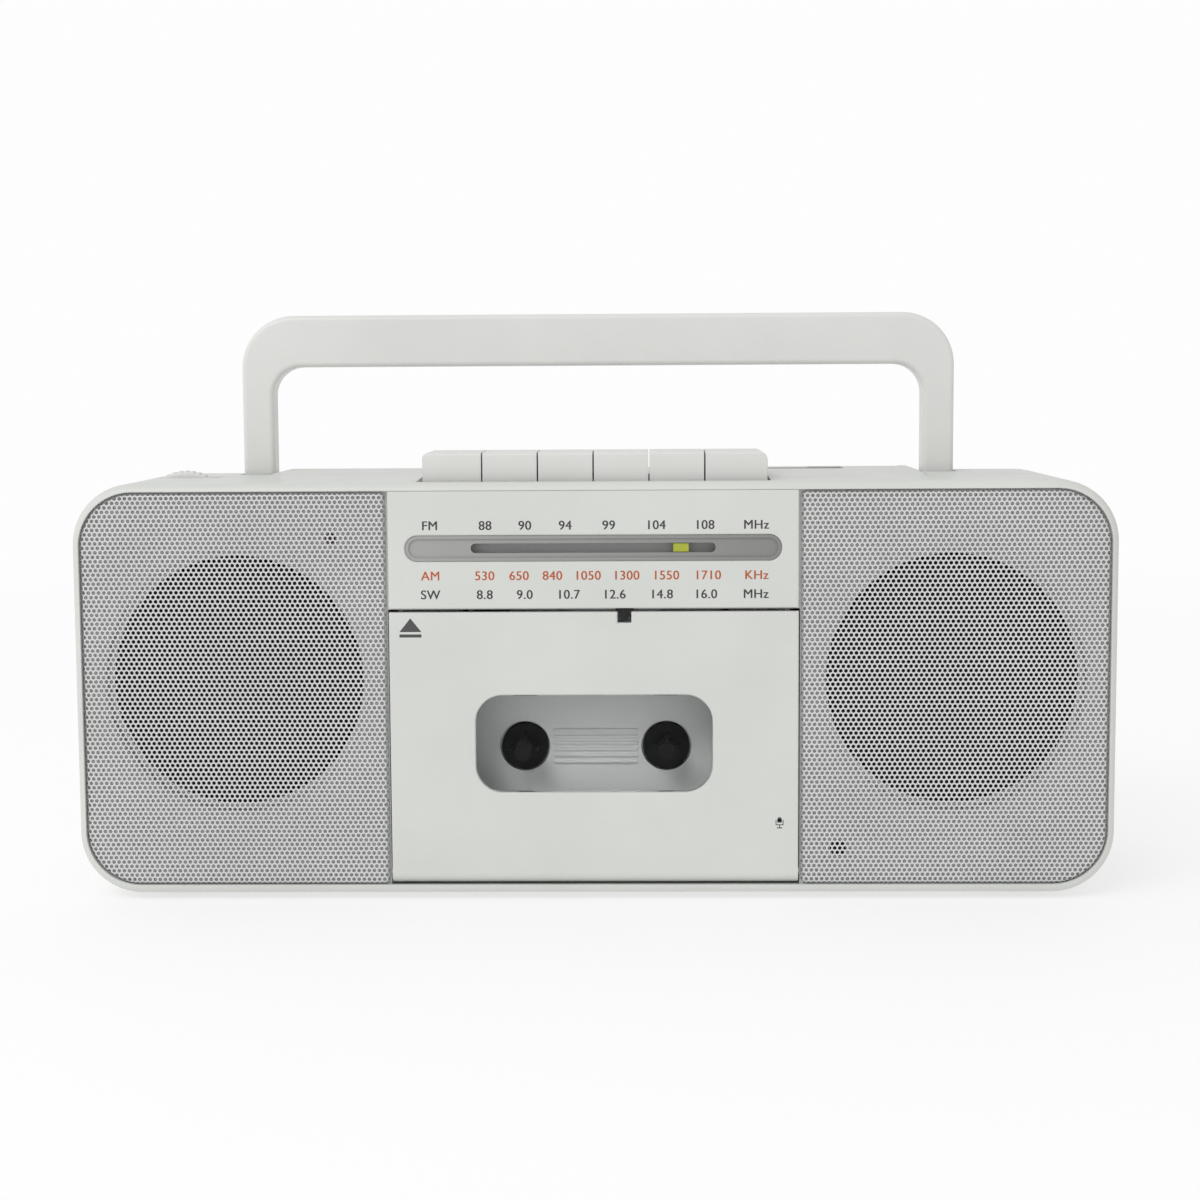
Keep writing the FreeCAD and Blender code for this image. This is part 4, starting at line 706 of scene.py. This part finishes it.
SCALE_ROWS = (
    # Height above the table, ink, and the words with their places across, in millimetres.
    (110.4, "dark_ink", (("FM", -47.3), ("88", -31.2), ("90", -19.7), ("94", -8.0), ("99", 4.6),
                         ("104", 18.2), ("108", 32.3), ("MHz", 47.2))),
    (95.8, "orange_ink", (("AM", -47.2), ("530", -31.5), ("650", -21.5), ("840", -11.8),
                          ("1050", -1.6), ("1300", 9.6), ("1550", 21.1), ("1710", 33.2),
                          ("KHz", 47.3))),
    (90.3, "dark_ink", (("SW", -47.3), ("8.8", -31.5), ("9.0", -19.9), ("10.7", -7.2),
                        ("12.6", 6.1), ("14.8", 19.8), ("16.0", 32.6), ("MHz", 47.1))),
)


def word_mesh(word):
    """A word's flat outline, centred on the origin in X and Z, that faces the front."""
    curve = bpy.data.curves.new("word", "FONT")
    curve.body = word
    curve.align_x = "CENTER"
    curve.align_y = "CENTER"
    curve.size = FONT_SIZE
    curve.space_character = LETTER_SPACING
    curve.extrude = INK_THICKNESS / 2
    holder = add_object("word", curve)
    bpy.context.view_layer.update()
    mesh = bpy.data.meshes.new_from_object(holder)
    mesh.transform(Matrix.Rotation(math.pi / 2, 4, "X"))
    bpy.data.objects.remove(holder)
    return mesh


def join_meshes(name, placed_meshes, material):
    """One piece from several meshes, each with the place it goes to."""
    work = bmesh.new()
    for mesh, place in placed_meshes:
        mesh.transform(Matrix.Translation(place))
        work.from_mesh(mesh)
        bpy.data.meshes.remove(mesh)
    result = bpy.data.meshes.new(name)
    work.to_mesh(result)
    work.free()
    result.materials.append(material)
    return add_object(name, result)


def scale_print(materials):
    """Numbers and bands on the tuning scale, one piece for each ink."""
    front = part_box("dial_panel")[0].y - INK_THICKNESS / 2
    for ink, name in (("dark_ink", "scale_print_dark"), ("orange_ink", "scale_print_orange")):
        placed = []
        for height, row_ink, words in SCALE_ROWS:
            if row_ink == ink:
                placed += [(word_mesh(word), (across * MM + coat * BOLD_SHIFT,
                                              front + coat * COAT_STEP, height * MM))
                           for word, across in words for coat in (-1, 0, 1)]
        carry(join_meshes(name, placed, materials[ink]), "root", "dark_plastic")


def flat_shape(loops):
    """A thin printed shape from closed loops of (x, z) points."""
    work = bmesh.new()
    for loop in loops:
        front = [work.verts.new((x, -INK_THICKNESS / 2, z)) for x, z in loop]
        back = [work.verts.new((x, INK_THICKNESS / 2, z)) for x, z in loop]
        work.faces.new(front)
        work.faces.new(back[::-1])
        for index in range(len(loop)):
            work.faces.new((front[index - 1], back[index - 1], back[index], front[index]))
    mesh = bpy.data.meshes.new("shape")
    work.to_mesh(mesh)
    work.free()
    return mesh


def scaled(points):
    """Points given in millimetres, in metres."""
    return [(x * MM, z * MM) for x, z in points]


EJECT_MARK = (
    ((-3.2, 0.0), (3.2, 0.0), (0.0, 4.0)),
    rectangle(-3.2, 3.2, -1.6, -0.7),
)
EJECT_PLACE = (-53.3, 79.6)
MICROPHONE_MARK = (
    circle(0.0, 1.1, 0.65),
    rectangle(-0.65, 0.65, 0.1, 1.1),
    rectangle(-1.15, -0.9, -0.4, 0.9),
    rectangle(0.9, 1.15, -0.4, 0.9),
    rectangle(-1.15, 1.15, -0.65, -0.4),
    rectangle(-0.13, 0.13, -1.3, -0.6),
    rectangle(-0.8, 0.8, -1.6, -1.3),
)
MICROPHONE_PLACE = (54.1, 23.0)


def door_print(materials):
    """Eject mark at the top left of the door, and a microphone sign at its lower right."""
    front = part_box("cassette_door")[0].y - INK_THICKNESS / 2
    marks = [(flat_shape([scaled(loop) for loop in mark]), (x * MM, front, z * MM))
             for mark, (x, z) in ((EJECT_MARK, EJECT_PLACE),
                                  (MICROPHONE_MARK, MICROPHONE_PLACE))]
    carry(join_meshes("door_print", marks, materials["dark_ink"]), "door", "dark_plastic")


# ---------------------------------------------------------------- stage

def matrix_of_camera():
    """The camera's place and turn from its yaw, pitch and roll."""
    forward = Vector((-math.sin(CAMERA_YAW) * math.cos(CAMERA_PITCH),
                      math.cos(CAMERA_YAW) * math.cos(CAMERA_PITCH), -math.sin(CAMERA_PITCH)))
    right = Vector((math.cos(CAMERA_YAW), math.sin(CAMERA_YAW), 0.0))
    up = right.cross(forward)
    rolled_right = math.cos(CAMERA_ROLL) * right + math.sin(CAMERA_ROLL) * up
    rolled_up = -math.sin(CAMERA_ROLL) * right + math.cos(CAMERA_ROLL) * up
    turn = Matrix((rolled_right, rolled_up, -forward)).transposed().to_4x4()
    return Matrix.Translation(CAMERA_PLACE) @ turn


def make_camera():
    camera = add_object("camera", bpy.data.cameras.new("camera"))
    camera.data.lens = CAMERA_LENS
    camera.data.sensor_width = CAMERA_SENSOR
    camera.data.clip_start = CAMERA_CLIP
    camera.matrix_world = matrix_of_camera()
    bpy.context.scene.camera = camera


def make_lamp():
    lamp = bpy.data.lights.new("key", "AREA")
    lamp.shape = "RECTANGLE"
    lamp.size, lamp.size_y = LAMP_SIZE
    lamp.energy = LAMP_POWER
    holder = add_object("key", lamp)
    holder.location = LAMP_PLACE
    aim = Vector(LAMP_AIM) - Vector(LAMP_PLACE)
    holder.rotation_euler = aim.to_track_quat("-Z", "Y").to_euler()


def stage_material():
    """White sweep with a glow of its own, which fades into the white surroundings."""
    nodes = Nodes("stage_white")
    inputs = nodes.shader.inputs
    inputs["Base Color"].default_value = FLOOR_TONE
    inputs["Specular IOR Level"].default_value = 0.1
    nodes.feed(inputs["Roughness"], nodes.spread(nodes.noise(3.0), 0.75, 0.85))
    inputs["Emission Color"].default_value = WHITE
    inputs["Emission Strength"].default_value = FLOOR_GLOW
    far = nodes.add("ShaderNodeEmission", {"Strength": BACKDROP_TONE})
    distance = nodes.add("ShaderNodeVectorMath", operation="LENGTH")
    nodes.join(nodes.place, distance.inputs[0])
    mix = nodes.add("ShaderNodeMixShader")
    nodes.join(nodes.spread(distance.outputs["Value"], 0.0, 1.0, *FLOOR_FADE), mix.inputs[0])
    nodes.join(nodes.shader.outputs[0], mix.inputs[1])
    nodes.join(far.outputs[0], mix.inputs[2])
    nodes.join(mix.outputs[0], nodes.output.inputs["Surface"])
    return nodes.material


def make_world():
    """Even white surroundings, a little dimmer on the right, and plain white to look at."""
    world = bpy.data.worlds.new("studio")
    world.use_nodes = True
    tree = world.node_tree
    tree.nodes.clear()
    output = tree.nodes.new("ShaderNodeOutputWorld")
    light = tree.nodes.new("ShaderNodeBackground")
    seen = tree.nodes.new("ShaderNodeBackground")
    mix = tree.nodes.new("ShaderNodeMixShader")
    path = tree.nodes.new("ShaderNodeLightPath")
    place = tree.nodes.new("ShaderNodeTexCoord")
    split = tree.nodes.new("ShaderNodeSeparateXYZ")
    side = tree.nodes.new("ShaderNodeMapRange")
    side.inputs["From Min"].default_value = -1.0
    side.inputs["To Min"].default_value = WORLD_LEFT
    side.inputs["To Max"].default_value = WORLD_RIGHT
    seen.inputs["Color"].default_value = WHITE
    seen.inputs["Strength"].default_value = BACKDROP_TONE
    links = tree.links
    links.new(place.outputs["Generated"], split.inputs[0])
    links.new(split.outputs["X"], side.inputs["Value"])
    links.new(side.outputs[0], light.inputs["Strength"])
    links.new(path.outputs["Is Camera Ray"], mix.inputs[0])
    links.new(light.outputs[0], mix.inputs[1])
    links.new(seen.outputs[0], mix.inputs[2])
    links.new(mix.outputs[0], output.inputs["Surface"])
    bpy.context.scene.world = world


def make_stage():
    """White floor, even white surroundings and a soft lamp from the upper left."""
    corners = [(x, z, 0) for x, z in rectangle(-FLOOR_REACH, FLOOR_REACH, -FLOOR_REACH,
                                               FLOOR_REACH)]
    floor = make_piece("floor", corners, [(0, 1, 2, 3)], stage_material())
    make_world()
    make_lamp()
    bpy.context.scene.view_settings.view_transform = "Standard"


def dress_frame(materials):
    """Give every CAD node its finish and smooth shading."""
    for name, node in frame["nodes"].items():
        smooth_by_angle(node)
        finish = materials[OWN_FINISH.get(name, SLOT_OF_NODE[name])]
        if node.data.materials:
            for index in range(len(node.data.materials)):
                node.data.materials[index] = finish
        else:
            node.data.materials.append(finish)


materials = make_materials()
make_camera()
make_stage()
dress_frame(materials)
perforated_sheet("left_grille_sheet", "left_speaker_grille", -1, materials["grille_metal"])
perforated_sheet("right_grille_sheet", "right_speaker_grille", 1, materials["grille_metal"])
knurled_wheels(materials)
case_screws(materials)
scale_print(materials)
door_print(materials)
